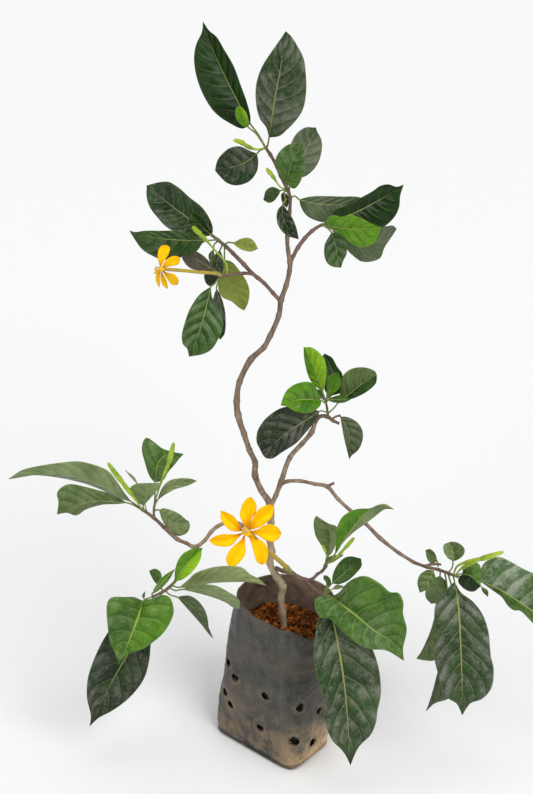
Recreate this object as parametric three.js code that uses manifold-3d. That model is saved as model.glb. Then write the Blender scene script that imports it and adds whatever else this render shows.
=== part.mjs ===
import * as THREE from 'three';
import { mergeVertices } from 'three/addons/utils/BufferGeometryUtils.js';
import Module from 'manifold-3d';

const wasm = await Module();
wasm.setup();

// A young gardenia in a soft nursery grow bag.
// Millimetres, +Z up, origin on the floor under the bag's middle.

// Driving dimensions.
const BAG_FOOT_LENGTH = 105;
const BAG_FOOT_WIDTH = 63.5;
const BAG_FOOT_TURN = -41;
const BAG_FOOT_ROUNDING = 2;
// The foot's corners: 1 gives an ellipse, and a smaller value a squarer shape.
const BAG_FOOT_ROUNDNESS = 0.25;
const BAG_RIM_RADIUS = 49;
// Rim heights every 30 degrees, from +X towards +Y.
const BAG_RIM_HEIGHTS = [166, 168, 169, 170, 172, 176, 180, 179, 176, 168, 155, 153];
const BAG_BULGE = 2.5;
const BAG_CREASE = 0.9;
const BAG_WALL = 1.1;
const BAG_HOLE_RADIUS = 3.3;
const BAG_WIDE_HOLE_RADIUS = 5;
const SOIL_LEVEL = 135.5;
const SOIL_MOUND = 4;
const GRAIN_HEIGHT = 1.8;
const LEAF_THICKNESS = 0.8;
const PETAL_THICKNESS = 0.9;
const GAP = 0.33;

const BAG_FOOT_CENTRE = new THREE.Vector2(-3.1, 2.2);
const BAG_RIM_CENTRE = new THREE.Vector2(11, 0);
const BAG_SIDES = 24;
const BAG_LEVELS = [0, 0.04, 0.24, 0.5, 0.74, 0.88, 1];
const SOIL_SIDE_LEVELS = 5;
const SOIL_RINGS = [0.9, 0.72, 0.52, 0.34, 0.18];

// Places on the plant are sight points [column, row, depth]: the line from the eye through that column and
// row, and the distance in millimetres behind the stem's upright plane (negative: in front of it).
const EYE = new THREE.Vector3(-9, -1142, 925);
const EYE_TILT = 25;
const EYE_FOCAL = 1367;
const MIDDLE_COLUMN = 266.5;
const MIDDLE_ROW = 397;

const tilt = THREE.MathUtils.degToRad(EYE_TILT);

function sight([column, row, depth]) {
  const across = (column - MIDDLE_COLUMN) / EYE_FOCAL;
  const above = (MIDDLE_ROW - row) / EYE_FOCAL;
  const ray = new THREE.Vector3(
    across,
    Math.cos(tilt) + above * Math.sin(tilt),
    above * Math.cos(tilt) - Math.sin(tilt),
  );
  return EYE.clone().addScaledVector(ray, (depth - EYE.y) / ray.y);
}

// Colours and finish of each material.
const finish = (color, roughness) => new THREE.MeshStandardMaterial({ color, roughness, metalness: 0 });
const FILM = () => finish(0x565553, 0.6);
const SOIL = () => finish(0x7d4423, 0.95);
const BARK = () => finish(0x7a6757, 0.85);
const LEAF = () => finish(0x33492f, 0.45);
const YOUNG_LEAF = () => finish(0x4f9414, 0.35);
const BUD = () => finish(0x86b51a, 0.4);
const PETAL = () => finish(0xffc107, 0.55);
const CALYX = () => finish(0x8a9438, 0.5);
const STIGMA = () => finish(0xe3c560, 0.6);

// Closed meshes as a list of points and a list of triangles.

function solidOf({ points, faces }) {
  const vertProperties = new Float32Array(points.flatMap((p) => [p.x, p.y, p.z]));
  const triVerts = new Uint32Array(faces.flat());
  return new wasm.Manifold(new wasm.Mesh({ numProp: 3, vertProperties, triVerts }));
}

function geometryOf(solid) {
  const mesh = solid.getMesh();
  const geometry = new THREE.BufferGeometry();
  geometry.setAttribute('position', new THREE.BufferAttribute(mesh.vertProperties, 3));
  geometry.setIndex(new THREE.BufferAttribute(mesh.triVerts, 1));
  return mergeVertices(geometry);
}

const fuse = (solids) => solids.reduce((whole, solid) => whole.add(solid));

// The body that is left when small loose scraps are dropped.
function largest(solid) {
  return solid.decompose().reduce((a, b) => (b.volume() > a.volume() ? b : a));
}

// A tube of changing radius through the given centres, with flat ends.
function taperedTube(centres, radii, sides) {
  const points = [];
  const faces = [];
  const last = centres.length - 1;
  const tangentAt = (i) => {
    const before = centres[Math.max(i - 1, 0)];
    const after = centres[Math.min(i + 1, last)];
    return after.clone().sub(before).normalize();
  };
  let side = new THREE.Vector3(0.31, 0.87, 0.38);
  centres.forEach((centre, i) => {
    const tangent = tangentAt(i);
    side = side.clone().addScaledVector(tangent, -side.dot(tangent)).normalize();
    const up = tangent.clone().cross(side);
    for (let k = 0; k < sides; k += 1) {
      const angle = (2 * Math.PI * k) / sides;
      const outward = side.clone().multiplyScalar(Math.cos(angle)).addScaledVector(up, Math.sin(angle));
      points.push(centre.clone().addScaledVector(outward, radii[i]));
    }
  });
  const start = points.push(centres[0].clone()) - 1;
  const end = points.push(centres[last].clone()) - 1;
  for (let k = 0; k < sides; k += 1) {
    const next = (k + 1) % sides;
    for (let i = 0; i < last; i += 1) {
      const low = i * sides;
      const high = low + sides;
      faces.push([low + k, low + next, high + next], [low + k, high + next, high + k]);
    }
    faces.push([start, next, k], [end, last * sides + k, last * sides + next]);
  }
  return solidOf({ points, faces });
}

// Wood and stalks: a run of sight points, each with the diameter there.
function twig(run, sides = 5, extra = 0) {
  const centres = run.map(sight);
  const radii = run.map(([, , , diameter]) => diameter / 2 + extra);
  const last = run.length - 1;
  if (extra > 0) {
    const push = (end, inner) => end.addScaledVector(end.clone().sub(inner).normalize(), extra);
    push(centres[0], centres[1]);
    push(centres[last], centres[last - 1]);
  }
  return taperedTube(centres, radii, sides);
}

// The same run, wider by the gap all round: the room that a neighbour leaves free.
const room = (run, sides = 5) => twig(run, sides, GAP);

// A leaf or petal: its stalk, its rib from base to tip, the outline on either side of the rib, and how far
// each side leans back (or, negative, forward) at its widest.
const blade = (stalk, rib, left, right, lean = [-5, -5], stalkWidth = 1.8) => (
  { stalk, rib, left, right, lean, stalkWidth }
);

const alongSpace = (list, t) => (
  new THREE.CatmullRomCurve3(list.map(([a, b, c = 0]) => new THREE.Vector3(a, b, c))).getPointAt(t)
);

const EDGE_WAVES = 2.5;
const EDGE_WAVE_HEIGHT = 0.05;
const PILLOW = 0.07;

// The blade's middle surface as rows of points from the left edge over the rib to the right edge.
function bladeRows({ rib, left, right, lean }, rows, half) {
  const base = rib[0];
  const tip = rib[rib.length - 1];
  const edges = [[base, ...left, tip], [base, ...right, tip]];
  const stations = Array.from({ length: rows + 1 }, (_, i) => {
    const t = i / rows;
    const middle = alongSpace(rib, t);
    return { t, middle, sides: edges.map((edge) => alongSpace(edge.map(([u, v]) => [u, v]), t)) };
  });
  const spread = (k) => stations.map(({ middle, sides }) => (
    Math.hypot(sides[k].x - middle.x, sides[k].y - middle.y)
  ));
  const widths = [spread(0), spread(1)];
  const widest = widths.map((list) => Math.max(...list));
  return stations.map(({ t, middle, sides }, i) => {
    const row = [];
    for (let j = -half; j <= half; j += 1) {
      const k = j < 0 ? 0 : 1;
      const s = Math.abs(j) / half;
      const fullness = widths[k][i] / widest[k];
      const wave = EDGE_WAVE_HEIGHT * widest[k] * Math.sin(2 * Math.PI * EDGE_WAVES * t + 3 * k + base[0]);
      const pillow = PILLOW * widest[k] * Math.sin(Math.PI * s);
      const depth = middle.z + fullness * (lean[k] * s + wave * s * s - pillow);
      const column = THREE.MathUtils.lerp(middle.x, sides[k].x, s);
      const line = THREE.MathUtils.lerp(middle.y, sides[k].y, s);
      row.push(sight([column, line, depth]));
    }
    return row;
  });
}

// The blade as a thin solid. Both faces are split into the same triangles.
function bladeSolid(spec, rows, half, thickness) {
  const grid = bladeRows(spec, rows, half);
  const columns = 2 * half;
  const normalAt = (i, j) => {
    const row = THREE.MathUtils.clamp(i, 1, rows - 1);
    const column = i === 0 || i === rows ? half : j;
    const along = grid[Math.min(row + 1, rows)][column].clone().sub(grid[row - 1][column]);
    const across = grid[row][Math.min(column + 1, columns)].clone().sub(grid[row][Math.max(column - 1, 0)]);
    return across.cross(along).normalize();
  };
  const points = [];
  const index = [];
  for (let i = 0; i <= rows; i += 1) {
    const single = i === 0 || i === rows;
    index.push([]);
    for (let j = 0; j <= columns; j += 1) {
      if (single && j > 0) {
        index[i].push(index[i][0]);
      } else {
        const normal = normalAt(i, j);
        const place = grid[i][j];
        index[i].push(points.length);
        points.push(place.clone().addScaledVector(normal, thickness / 2));
        points.push(place.clone().addScaledVector(normal, -thickness / 2));
      }
    }
  }
  const faces = [];
  const both = (a, b, c) => faces.push([a, b, c], [a + 1, c + 1, b + 1]);
  for (let i = 0; i < rows; i += 1) {
    for (let j = 0; j < columns; j += 1) {
      const [a, b, c, d] = [index[i][j], index[i][j + 1], index[i + 1][j + 1], index[i + 1][j]];
      if (i > 0) both(a, b, c);
      if (i === 0) both(a, c, d);
      else if (i < rows - 1) both(a, c, d);
    }
    const [l0, l1, r0, r1] = [index[i][0], index[i + 1][0], index[i][columns], index[i + 1][columns]];
    faces.push([l0, l1, l1 + 1], [l0, l1 + 1, l0 + 1]);
    faces.push([r0, r0 + 1, r1 + 1], [r0, r1 + 1, r1]);
  }
  return solidOf({ points, faces });
}

// How finely a blade is split: a long one has more rows.
const LONG_BLADE = 45;
const SMALL_BLADE = 22;

function bladeLength({ rib }) {
  return sight(rib[0]).distanceTo(sight(rib[rib.length - 1]));
}

function bladeSplit(spec) {
  const length = bladeLength(spec);
  if (length > LONG_BLADE) return [6, 2];
  return length > SMALL_BLADE ? [5, 2] : [4, 1];
}

// The place on the given twigs, in the wood's middle, that lies nearest to a sight point: a stalk starts there.
const ROOT_STEPS = 10;

function rootOn(twigs, start) {
  const target = sight(start);
  let best = null;
  let nearest = Infinity;
  for (const run of twigs) {
    for (let i = 0; i + 1 < run.length; i += 1) {
      for (let step = 0; step <= ROOT_STEPS; step += 1) {
        const spot = [0, 1, 2].map((n) => THREE.MathUtils.lerp(run[i][n], run[i + 1][n], step / ROOT_STEPS));
        const distance = sight(spot).distanceTo(target);
        if (distance < nearest) {
          nearest = distance;
          best = spot;
        }
      }
    }
  }
  return best;
}

// The stalk's run. It goes on for a short way under the rib, so that the blade holds to it.
function stalkRun({ stalk, rib, stalkWidth }, twigs) {
  const under = alongSpace(rib, 0.14);
  const points = [...stalk, rib[0]];
  const root = rootOn(twigs, points[0]);
  const clear = points.filter((p) => sight(p).distanceTo(sight(root)) > stalkWidth);
  return [
    [...root, stalkWidth],
    ...clear.map((p) => [...p, stalkWidth]),
    [under.x, under.y, under.z, stalkWidth * 0.6],
  ];
}

function leafSolid(spec, twigs, thickness = LEAF_THICKNESS) {
  return fuse([bladeSolid(spec, ...bladeSplit(spec), thickness), twig(stalkRun(spec, twigs), 4)]);
}

// A bud: a blunt club on a thin stalk, with the run's last point at its tip. head is the club's share of it.
function budSolid({ run, width, head }, twigs) {
  const curve = new THREE.CatmullRomCurve3([rootOn(twigs, run[0]), ...run.slice(1)].map(sight));
  const neck = 1 - head;
  const profile = [
    [0, 0.32], [neck, 0.36], [neck + 0.3 * head, 0.74], [neck + 0.6 * head, 1], [neck + 0.88 * head, 0.86],
    [1, 0.45],
  ];
  const centres = profile.map(([t]) => curve.getPointAt(t));
  return taperedTube(centres, profile.map(([, r]) => (r * width) / 2), 6);
}

const bud = (run, width, head = 0.7) => ({ run, width, head });

// The woody part.
const TRUNK = [
  [285, 661, 0, 7.6], [285, 645, 0, 7.6], [284, 629, 0, 7.4], [282.5, 612, 0, 7.2], [281, 598, 1, 7],
    [282.5, 586, 0, 8],
  [277, 577, 0, 7.4], [270, 563, 1, 7], [272, 552, 2, 6.8], [270, 541, 2, 6.6], [271, 522, 0, 6.6],
  [270, 504, 0, 7], [261, 490, -2, 5.6], [255, 475, -3, 6.2], [255, 462, -4, 5.4], [249.5, 450, -4, 5.4],
  [244, 434, -3, 5.4], [238, 415, -2, 6.2], [236.8, 401, -1, 6], [239.5, 382, 1, 5.2], [251, 359.5, 3, 5.8],
  [264, 347, 4, 5], [270, 336, 4, 5], [279, 315, 2, 4.8], [281, 300, 1, 5.2], [286, 286, 1, 4.4],
  [289.5, 271, 1, 4.4], [290, 262, 1, 4.8], [288, 250, 1, 3.8], [287.3, 238, 1, 3.8], [289.7, 212, 0, 3.6],
];
const BRANCHES = {
  right_stem: [
    [271, 506, 0, 5.2], [276, 495, 4, 4.8], [281, 482, 8, 5.4], [290, 457.4, 14, 4.8],
      [302.6, 443, 19, 4.6],
    [311.7, 432, 22, 5.2], [314.8, 423, 24, 4.4],
  ],
  far_right: [
    [280, 485, 8, 4.2], [287, 481.5, 4, 3.8], [300, 481, 0, 3.6], [315, 484, -4, 3.6],
      [327, 486.5, -8, 4.2],
    [338, 499, -11, 3.6], [351, 511, -15, 3.6], [365, 523, -19, 3.6], [380, 538, -24, 4.2],
      [399, 553, -30, 3.4],
    [415, 563, -35, 3.6],
  ],
  low_left: [
    [270, 562, 1, 4.4], [262, 550, 2, 4], [254, 537, 1, 4], [241, 525, -2, 4.4], [229, 522, -6, 4],
    [218, 526, -10, 4], [211, 532, -13, 4], [205, 540, -15, 3.8], [195, 547, -18, 4.6],
      [186, 543, -20, 3.6],
    [177, 539, -22, 4], [165, 528, -25, 4.2],
  ],
  low_left_twig: [[194, 547, -18, 3.6], [189, 558, -28, 3.2], [182, 570, -38, 3.2]],
  rim_branch: [
    [276, 568, 0, 4.4], [283, 571, -6, 4.2], [291, 572.5, -12, 5], [298, 577, -18, 4.4],
      [307, 580.5, -26, 4.6],
  ],
  rim_twig_up: [[306, 580, -25, 3.4], [312, 579, -28, 3.2], [318, 573.5, -31, 3.4]],
  rim_twig_down: [[306, 580, -26, 3], [312, 586.5, -34, 2.8], [317, 590.5, -42, 2.8]],
  upper_left: [
    [281, 302, 1, 4], [273, 293, 0, 3.6], [264, 283, -2, 3.4], [258, 278, -4, 4], [251.8, 273, -5, 3.6],
    [244, 264.5, -7, 4], [233, 253.3, -9, 3.6], [226, 246.5, -10, 3.6],
  ],
  small_bloom_twig: [[252, 274, -5, 3], [244.4, 273.2, -9, 3], [234, 274, -13, 3], [228, 275, -16, 3.2]],
  upper_right: [
    [290, 264, 1, 3.8], [293.5, 256, 3, 3.6], [298, 247.5, 5, 4], [305, 238, 7, 3.8], [312, 231, 9, 3.8],
    [317, 227.5, 9.5, 3.2],
  ],
  stub: [[327, 486.5, -8, 3], [334, 483, -9, 2.6]],
};

// Leafy twig ends. Each has the twig's own run and the leaves that it bears.
const SPRAYS = {
  crown_spray: {
    twigs: [[[285, 184.3, -1, 3], [280.5, 176, -1, 3], [277, 167, -2, 3], [270, 154, -4, 3.2],
      [265, 147, -6, 3]]],
    leaves: {
      tall_back: blade(
        [[265.5, 147.5, -5], [258, 134, -4]],
        [[250.4, 124, -2], [239.5, 104.5, 6], [219, 63.3, 24], [209, 40, 36], [203, 21.5, 46]],
        [[243, 128.7], [229.8, 123.3], [215.3, 113], [204.4, 97.2], [196.5, 76.6], [194, 58.5],
          [196, 45], [202, 31.8]],
        [[250.4, 116.6], [246.8, 102], [240.7, 85], [233.5, 65.7], [223.8, 48.8], [216.5, 36.7],
          [209.2, 30.6]],
        [-7, -10],
      ),
      tall_front: blade(
        [[267, 148, -5], [268.4, 142, -8]],
        [[269, 137.5, -10], [274.6, 99.6, -20], [280.7, 67, -26], [285.8, 31.2, -24]],
        [[266.2, 127.5], [260, 119], [256.5, 107], [255.6, 90], [257.7, 77.8], [262.5, 65.7],
          [271, 52.4], [279.5, 40.3]],
        [[279.5, 136], [288, 128.7], [294, 122.8], [302.5, 110.5], [306, 94.8], [306, 75.4], [303.7, 58.5],
          [297.7, 46.3], [291.6, 36.7]],
        [-7, -8],
      ),
      round_low: blade(
        [[264, 148.5, -6], [260, 150.5, -9]],
        [[257, 153.6, -12], [242, 164, -28], [215, 170.5, -46]],
        [[250.4, 151], [239.5, 146.3], [229.8, 148], [221.3, 154.8], [217, 161.4]],
        [[258.3, 162.6], [256.5, 172.3], [249.2, 181.4], [237, 185.4], [227.4, 183.2], [219.5, 176]],
        [-5, -7],
      ),
    },
  },
  neck_spray: {
    twigs: [[[289.7, 212.6, 0, 3.4], [290, 198, 0, 3.4], [287.5, 189, -1, 3.8], [284.5, 183.5, -1, 3.2]]],
    leaves: {
      grey_back: blade(
        [[288.5, 190, 1], [291, 185, 8]],
        [[294, 178, 12], [304, 155, 30], [315.8, 127.5, 52]],
        [[291, 165], [289.5, 152], [291.6, 142], [297.7, 132.4], [306, 127.3], [312, 127.4]],
        [[303.7, 177], [311, 172.3], [318.3, 162.6], [321.9, 149.3], [321.3, 139.6], [317, 131]],
      ),
      small_left: blade(
        [[287, 190, 1], [284, 190, 6]],
        [[280.4, 190.6, 9], [272, 195, 18], [263.3, 200, 26]],
        [[277.3, 188.4], [271.7, 187], [266, 190.4]],
        [[279.4, 193.5], [274.3, 200.6], [269.2, 202.9]],
      ),
      narrow_front: blade(
        [[287.5, 191, -2]],
        [[284.2, 192, -6], [285.2, 200, -10], [287, 208, -12]],
        [[281.4, 194], [282.5, 203]],
        [[287.6, 196], [288.6, 203]],
        [2, 2],
      ),
      drooping: blade(
        [[288.5, 193, -1], [286, 199, -9]],
        [[283, 204, -14], [282.5, 216, -21], [288, 228, -27], [298.8, 239.4, -32]],
        [[277.9, 209.8], [276.6, 216], [278.4, 226], [286.5, 235.3]],
        [[285.5, 207.8], [290.6, 214.9], [294.7, 223], [297.2, 231]],
      ),
      level_right: blade(
        [[290, 197.5, 0], [294.7, 196, 2]],
        [[299.3, 199.6, 4], [316, 203.7, 16], [344.7, 204.7, 36], [368, 206, 50]],
        [[303.9, 198], [313, 196.3], [341.6, 196.5], [361, 197.8]],
        [[300.8, 206.7], [305.9, 214.9], [313, 219.5], [330, 223], [352, 219]],
        [3, -6],
      ),
    },
  },
  upper_right_spray: {
    twigs: [[[316.5, 227.6, 9.5, 3], [322, 225, 10, 3], [326, 224.5, 11, 2.6]]],
    leaves: {
      dark_back: blade(
        [[322, 224.5, 10], [329, 221.5, 14]],
        [[335, 219.5, 16], [351.8, 213.9, 20], [372.2, 203.7, 30], [388.6, 194.5, 41], [403.7, 184.5, 54]],
        [[334.5, 211.5], [346, 205], [362, 197], [372.2, 191.4], [380.4, 185.8], [388.6, 184.3],
          [396.7, 186.8]],
        [[345, 224], [362, 230], [381.4, 228], [393.7, 218], [399, 207.8], [400.3, 195.5]],
      ),
      glossy_low: blade(
        [[323, 225, 10], [328.5, 229, 10]],
        [[331.6, 232.5, 10], [335.5, 245.5, 7], [337.6, 256.7, 4], [341, 267.7, 2]],
        [[328.6, 237], [324.6, 245], [324.8, 257.8], [328.4, 264.4], [333.5, 266.9]],
        [[339.6, 233.3], [344.7, 239.4], [346.7, 253.7], [343.7, 259.8]],
        [-4, -4],
      ),
      olive_back: blade(
        [[324, 224.8, 11], [328, 227, 15]],
        [[331.5, 229, 20], [352, 239, 36], [374, 242, 48], [396.7, 228.7, 62]],
        [[350, 228], [372, 227], [387.6, 226], [392.7, 225.4]],
        [[340, 243], [346.7, 249.6], [351.8, 254.7], [361, 261.3], [371.2, 261.6], [380.4, 257.8],
          [384.5, 247.6],
          [392.7, 235.3]],
        [-4, -4],
      ),
    },
  },
  upper_left_spray: {
    twigs: [[[225.5, 246, -10, 3.2], [218, 240, -12, 3.2], [211.5, 235, -12, 2.8]]],
    leaves: {
      grey_back: blade(
        [],
        [[212, 235.5, -11], [187.2, 217.3, 5], [167.3, 202.3, 18], [146.7, 185.5, 34]],
        [[213, 228.5], [209.6, 218.5], [202, 207.3], [189.7, 197.4], [178.5, 187.4], [168.5, 181.8],
          [158, 182.4]],
        [[194.6, 237], [168.5, 228.5], [157.3, 217.3], [149.9, 207.3], [146.7, 197.4]],
        [-6, -4],
      ),
      long_front: blade(
        [[217, 239.5, -14]],
        [[211, 240.3, -19], [179.7, 239.7, -34], [157.3, 237.8, -43], [129.3, 230.7, -50]],
        [[194.6, 235.9], [182.2, 231], [161, 230.7], [144.9, 230.7], [133.7, 232.2]],
        [[203.3, 242.5], [197, 250.8], [182.2, 257], [162.3, 259.6], [152.3, 255.8], [142.4, 249.6],
          [134.9, 239.7]],
        [-5, 5],
      ),
      small_upper: blade(
        [],
        [[211, 235, -14], [200, 224, -17], [191.5, 212.3, -16]],
        [[202, 233.4], [194.6, 227.2], [189, 222.2], [189.7, 216]],
        [[208.9, 229.7], [205.8, 222.2], [199.6, 215.4]],
        [-3, -3],
      ),
      hanging_dark: blade(
        [[222, 243.5, -10], [221.5, 247, -5]],
        [[220, 250, -1], [216, 268, 3], [210.8, 287, 9]],
        [[214.5, 255], [206, 268], [204, 277], [206.5, 284]],
        [[223, 258], [223, 270], [218.3, 280]],
        [-3, -3],
      ),
      olive_right: blade(
        [[224, 245, -9], [224.5, 252, -2]],
        [[224.5, 259.6, 3], [228.2, 274.5, 10], [236, 292, 15], [244.4, 310.5, 20]],
        [[232, 262], [240.6, 272], [246.9, 282], [249.6, 291.9], [248, 303]],
        [[219.5, 277], [218.3, 288], [222, 296.9], [232, 301.8], [239.4, 308]],
        [-4, -4],
      ),
      sliver: blade(
        [[218, 241.5, -12], [214.5, 244, -13]],
        [[213.3, 249, -12], [210.8, 257, -11], [213.3, 266, -9]],
        [[208.6, 255], [209.6, 261]],
        [[214.5, 255], [214.5, 261]],
        [2, 2],
      ),
    },
  },
  left_hanging_spray: {
    twigs: [[[227.4, 275, -16.3, 2.8], [222, 276.3, -20, 3], [219, 277, -22, 2.6]]],
    leaves: {
      plum_left: blade(
        [[220, 276.5, -21]],
        [[215.8, 271.4, -23], [200, 261, -22], [181.6, 252, -19]],
        [[209.6, 262], [202, 254.6], [193.4, 250.2], [185.9, 249.4]],
        [[204.6, 270.7], [193.4, 269.5], [187.2, 265.8], [182.2, 258.3]],
        [-2, 2],
      ),
      large_green: blade(
        [[219.5, 277, -21.5], [214.5, 284, -26]],
        [[211, 286.5, -29], [204.6, 313, -41], [198.4, 334.2, -46], [189, 356.6, -50]],
        [[199.6, 294.4], [189.7, 309.3], [184.7, 323], [181.8, 335.4], [182.8, 344], [187.2, 349]],
        [[212, 296.9], [218.3, 308], [222.6, 319.3], [222, 330.5], [217.6, 340.4], [212, 349],
          [203.3, 354]],
        [-6, -6],
      ),
      dark_behind: blade(
        [[220, 277, -20], [218, 283, -17]],
        [[216.5, 288, -15], [220.5, 305, -12], [222, 322, -11], [220, 340, -13]],
        [[213, 300], [215, 320], [217, 333]],
        [[219.5, 293], [224.5, 308], [225.7, 324], [224.5, 334]],
        [2, -3],
      ),
    },
  },
  middle_spray: {
    twigs: [
      [[314.6, 423.6, 24, 4], [319.9, 416.5, 26, 4], [327, 416.6, 26, 4.2], [333, 420.7, 27, 3.4],
        [339, 423.4, 28, 3]],
      [[328, 416, 26, 2.6], [327, 408, 25, 2.2], [325.5, 400, 23, 2.4]],
      [[332, 419, 26, 2.2], [336, 416.5, 28, 2], [340, 415.5, 30, 2.4]],
    ],
    leaves: {
      large_low_left: blade(
        [[327, 414, 24], [324, 411.5, 18]],
        [[319.9, 411, 13], [300.5, 423.8, 2], [286.2, 433, -5], [262.5, 454.5, -14]],
        [[302, 407], [283, 407.4], [268.9, 415.6], [260.7, 424.8], [257, 433], [256.6, 442],
          [259.7, 448.8]],
        [[316.8, 418], [310.7, 426.8], [304.6, 434], [296.4, 443], [282, 452.3], [272, 458.6],
          [265.8, 458]],
        [-5, -5],
      ),
      dark_upright: blade(
        [[326.5, 402, 26]],
        [[331, 396, 32], [334, 377, 40], [324.5, 353.4, 50]],
        [[325.5, 392], [323, 375], [320.5, 360]],
        [[341.3, 392], [342.3, 383], [342.3, 373.8], [337.2, 366.6], [332, 357.6]],
        [-3, -3],
      ),
      cupped: blade(
        [],
        [[326, 400, 21], [331.5, 386, 13], [338, 372, 9]],
        [[326.5, 391], [327, 381], [329.5, 375.5]],
        [[333, 394.2], [339.8, 387], [340.3, 378.9]],
        [-4, -4],
      ),
      sheen_right: blade(
        [[328.5, 413.5, 25], [334, 408, 25]],
        [[339, 402, 24], [348.5, 395, 22], [362, 384, 18], [377, 375.8, 14]],
        [[340.3, 388], [342.3, 376.8], [349.5, 369.7], [358.7, 367.3], [367.9, 368], [375.5, 371.7]],
        [[351.5, 399], [357.7, 396.7], [367.9, 391], [376, 383]],
        [-4, -4],
      ),
      folded_right: blade(
        [],
        [[327, 400, 20], [338, 399.5, 11], [350.5, 399.8, 4]],
        [[334, 396.5], [344, 395]],
        [[334, 402.5], [343, 402.8]],
        [3, 3],
      ),
      folded_left: blade(
        [],
        [[325, 401, 25], [320, 396, 25], [312.8, 389.6, 24]],
        [[322.5, 392.5], [316.8, 389]],
        [[321, 398.6], [315, 394.5]],
        [3, 3],
      ),
      hanging_grey: blade(
        [],
        [[340.3, 416.5, 30], [349, 434, 33], [349.5, 447.2, 36], [349.3, 459.5, 40]],
        [[342.3, 428.9], [344.4, 440], [347, 450.3]],
        [[347.4, 417], [356.6, 421.7], [362.2, 429.9], [362.8, 439], [358.7, 449.3], [351.5, 455.9]],
        [-3, -3],
      ),
    },
  },
  far_left_spray: {
    twigs: [
      [[164.4, 527.6, -25, 3.8], [154, 518, -28, 3.4], [143, 510, -30, 3.2], [133, 504, -31, 2.6]],
      [[154, 517.5, -28, 2.6], [154, 509, -27, 2.4], [155.5, 499, -25, 2.4]],
    ],
    leaves: {
      long_left: blade(
        [[140, 508, -29]],
        [[131, 501.5, -27], [98, 484.5, -8], [56, 473.5, 12], [8.5, 479, 30]],
        [[124, 492], [117.6, 482.5], [109.8, 472], [100.7, 467], [90, 463.6], [78.4, 461.3],
          [57.5, 463], [35.3, 466.6],
          [22, 470]],
        [[120, 499], [98, 488.4], [78.4, 481.9], [56, 477.3], [35.3, 475.2], [17, 476]],
        [-6, 16],
      ),
      wavy_left: blade(
        [[136, 506, -31]],
        [[127, 502.8, -34], [92, 501.5, -54], [57, 514.3, -72]],
        [[112, 494.5], [99.3, 490.4], [83.7, 486.4], [70.6, 484], [62.7, 486.4], [57, 493], [58.4, 502]],
        [[117.6, 504], [102, 504.8], [85, 510], [79.7, 513.9], [75, 515.5], [67, 512.8]],
        [-4, 10],
      ),
      grey_upright: blade(
        [[145, 511, -30]],
        [[143.3, 506, -32], [147, 494, -38], [150, 483, -42]],
        [[134, 499], [129.4, 489], [136, 483.8]],
        [[150, 498.5], [158, 489], [160.5, 483.4]],
        [-3, -3],
      ),
      curled_sliver: blade(
        [[147, 512, -28], [142, 495, -20]],
        [[138, 484.5, -16], [131.5, 478, -14], [125, 470, -12]],
        [[133.5, 478.6]],
        [[134.5, 477.5]],
        [4, 4],
        1.4,
      ),
      broad_upright: blade(
        [[155, 503, -25], [155, 492, -21]],
        [[155, 482.5, -17], [158.5, 463, -9], [167, 454.5, -7], [183.7, 454, -10]],
        [[150.5, 478], [145, 463], [141.8, 447], [146, 437.6], [154, 442], [160.8, 447.6], [172, 451.6]],
        [[163.4, 480], [168.6, 471.4], [174, 465.5], [179, 459]],
        [4, -5],
      ),
      olive_right: blade(
        [[155.5, 506, -26]],
        [[157, 500.8, -29], [168, 487, -36], [182, 481.5, -40], [197, 481, -43]],
        [[162, 488], [168.6, 481], [178, 478.4], [190.8, 478.7]],
        [[164.7, 495], [175, 489.5], [189.5, 485]],
        [-3, -3],
      ),
      low_right: blade(
        [[155, 511, -27]],
        [[159, 510, -24], [168, 519, -20], [178, 523, -15], [188.8, 521.2, -10]],
        [[163.4, 508.3], [172.5, 510.4], [180.4, 514.6], [186, 519.5]],
        [[160.8, 516.5], [164.7, 524.5], [173, 534], [179, 536], [187, 532.8], [190, 526.5]],
        [-3, -3],
      ),
    },
  },
  low_left_spray: {
    twigs: [
      [[181.6, 570.6, -38.4, 3], [176, 580, -45, 3], [169, 587.5, -50, 3.2], [161, 593, -53, 3],
        [152, 597, -56, 2.6]],
    ],
    leaves: {
      small_upper: blade(
        [[163, 591.5, -52]],
        [[159.7, 586, -50], [154.5, 578, -46], [149, 570.8, -42]],
        [[155.5, 583], [151.7, 577]],
        [[161.8, 578], [160.5, 572], [155, 568.7]],
        [-2, -2],
      ),
      large_dark: blade(
        [[161, 594, -50]],
        [[158, 603, -44], [140, 634, -40], [122, 663.8, -42], [106, 693, -48], [89.6, 726.3, -56]],
        [[138, 608], [118, 620], [107.4, 633], [95.3, 656], [87.7, 679], [87, 698], [90.8, 716]],
        [[164, 618], [157, 632], [150.8, 644.7], [149.9, 656], [145, 676.6], [136, 690.6], [124.6, 702],
          [110.6, 711.7],
          [98.5, 718]],
        [-6, -6],
      ),
      pale_upper_right: blade(
        [[172, 585.5, -48]],
        [[179, 587.4, -48], [207, 580, -42], [240, 579, -34], [267, 585.8, -27]],
        [[188.4, 579.6], [194.8, 573.5], [211.4, 567.5], [226.7, 566], [242, 567.5], [250, 574],
          [258.6, 578.6]],
        [[194.8, 588], [207.6, 583.8], [226.7, 582.2], [250.9, 582.4]],
        [-6, 14],
      ),
      pale_lower_right: blade(
        [[170, 588, -50], [175, 590.5, -54]],
        [[182, 589.4, -57], [207, 590.5, -62], [226, 599, -64], [240, 609, -64]],
        [[192, 586], [207.6, 584.4], [217.8, 586.3], [229.2, 592.4], [236.5, 597], [239.8, 601.5]],
        [[191, 591.5], [207.6, 595.8], [225.4, 602.3], [233, 607.4]],
        [-4, 10],
      ),
      hanging_narrow: blade(
        [[165, 591, -51], [170, 594.8, -50]],
        [[177, 597, -50], [193, 607, -48], [205, 621, -46], [213.3, 638.6, -46]],
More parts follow.
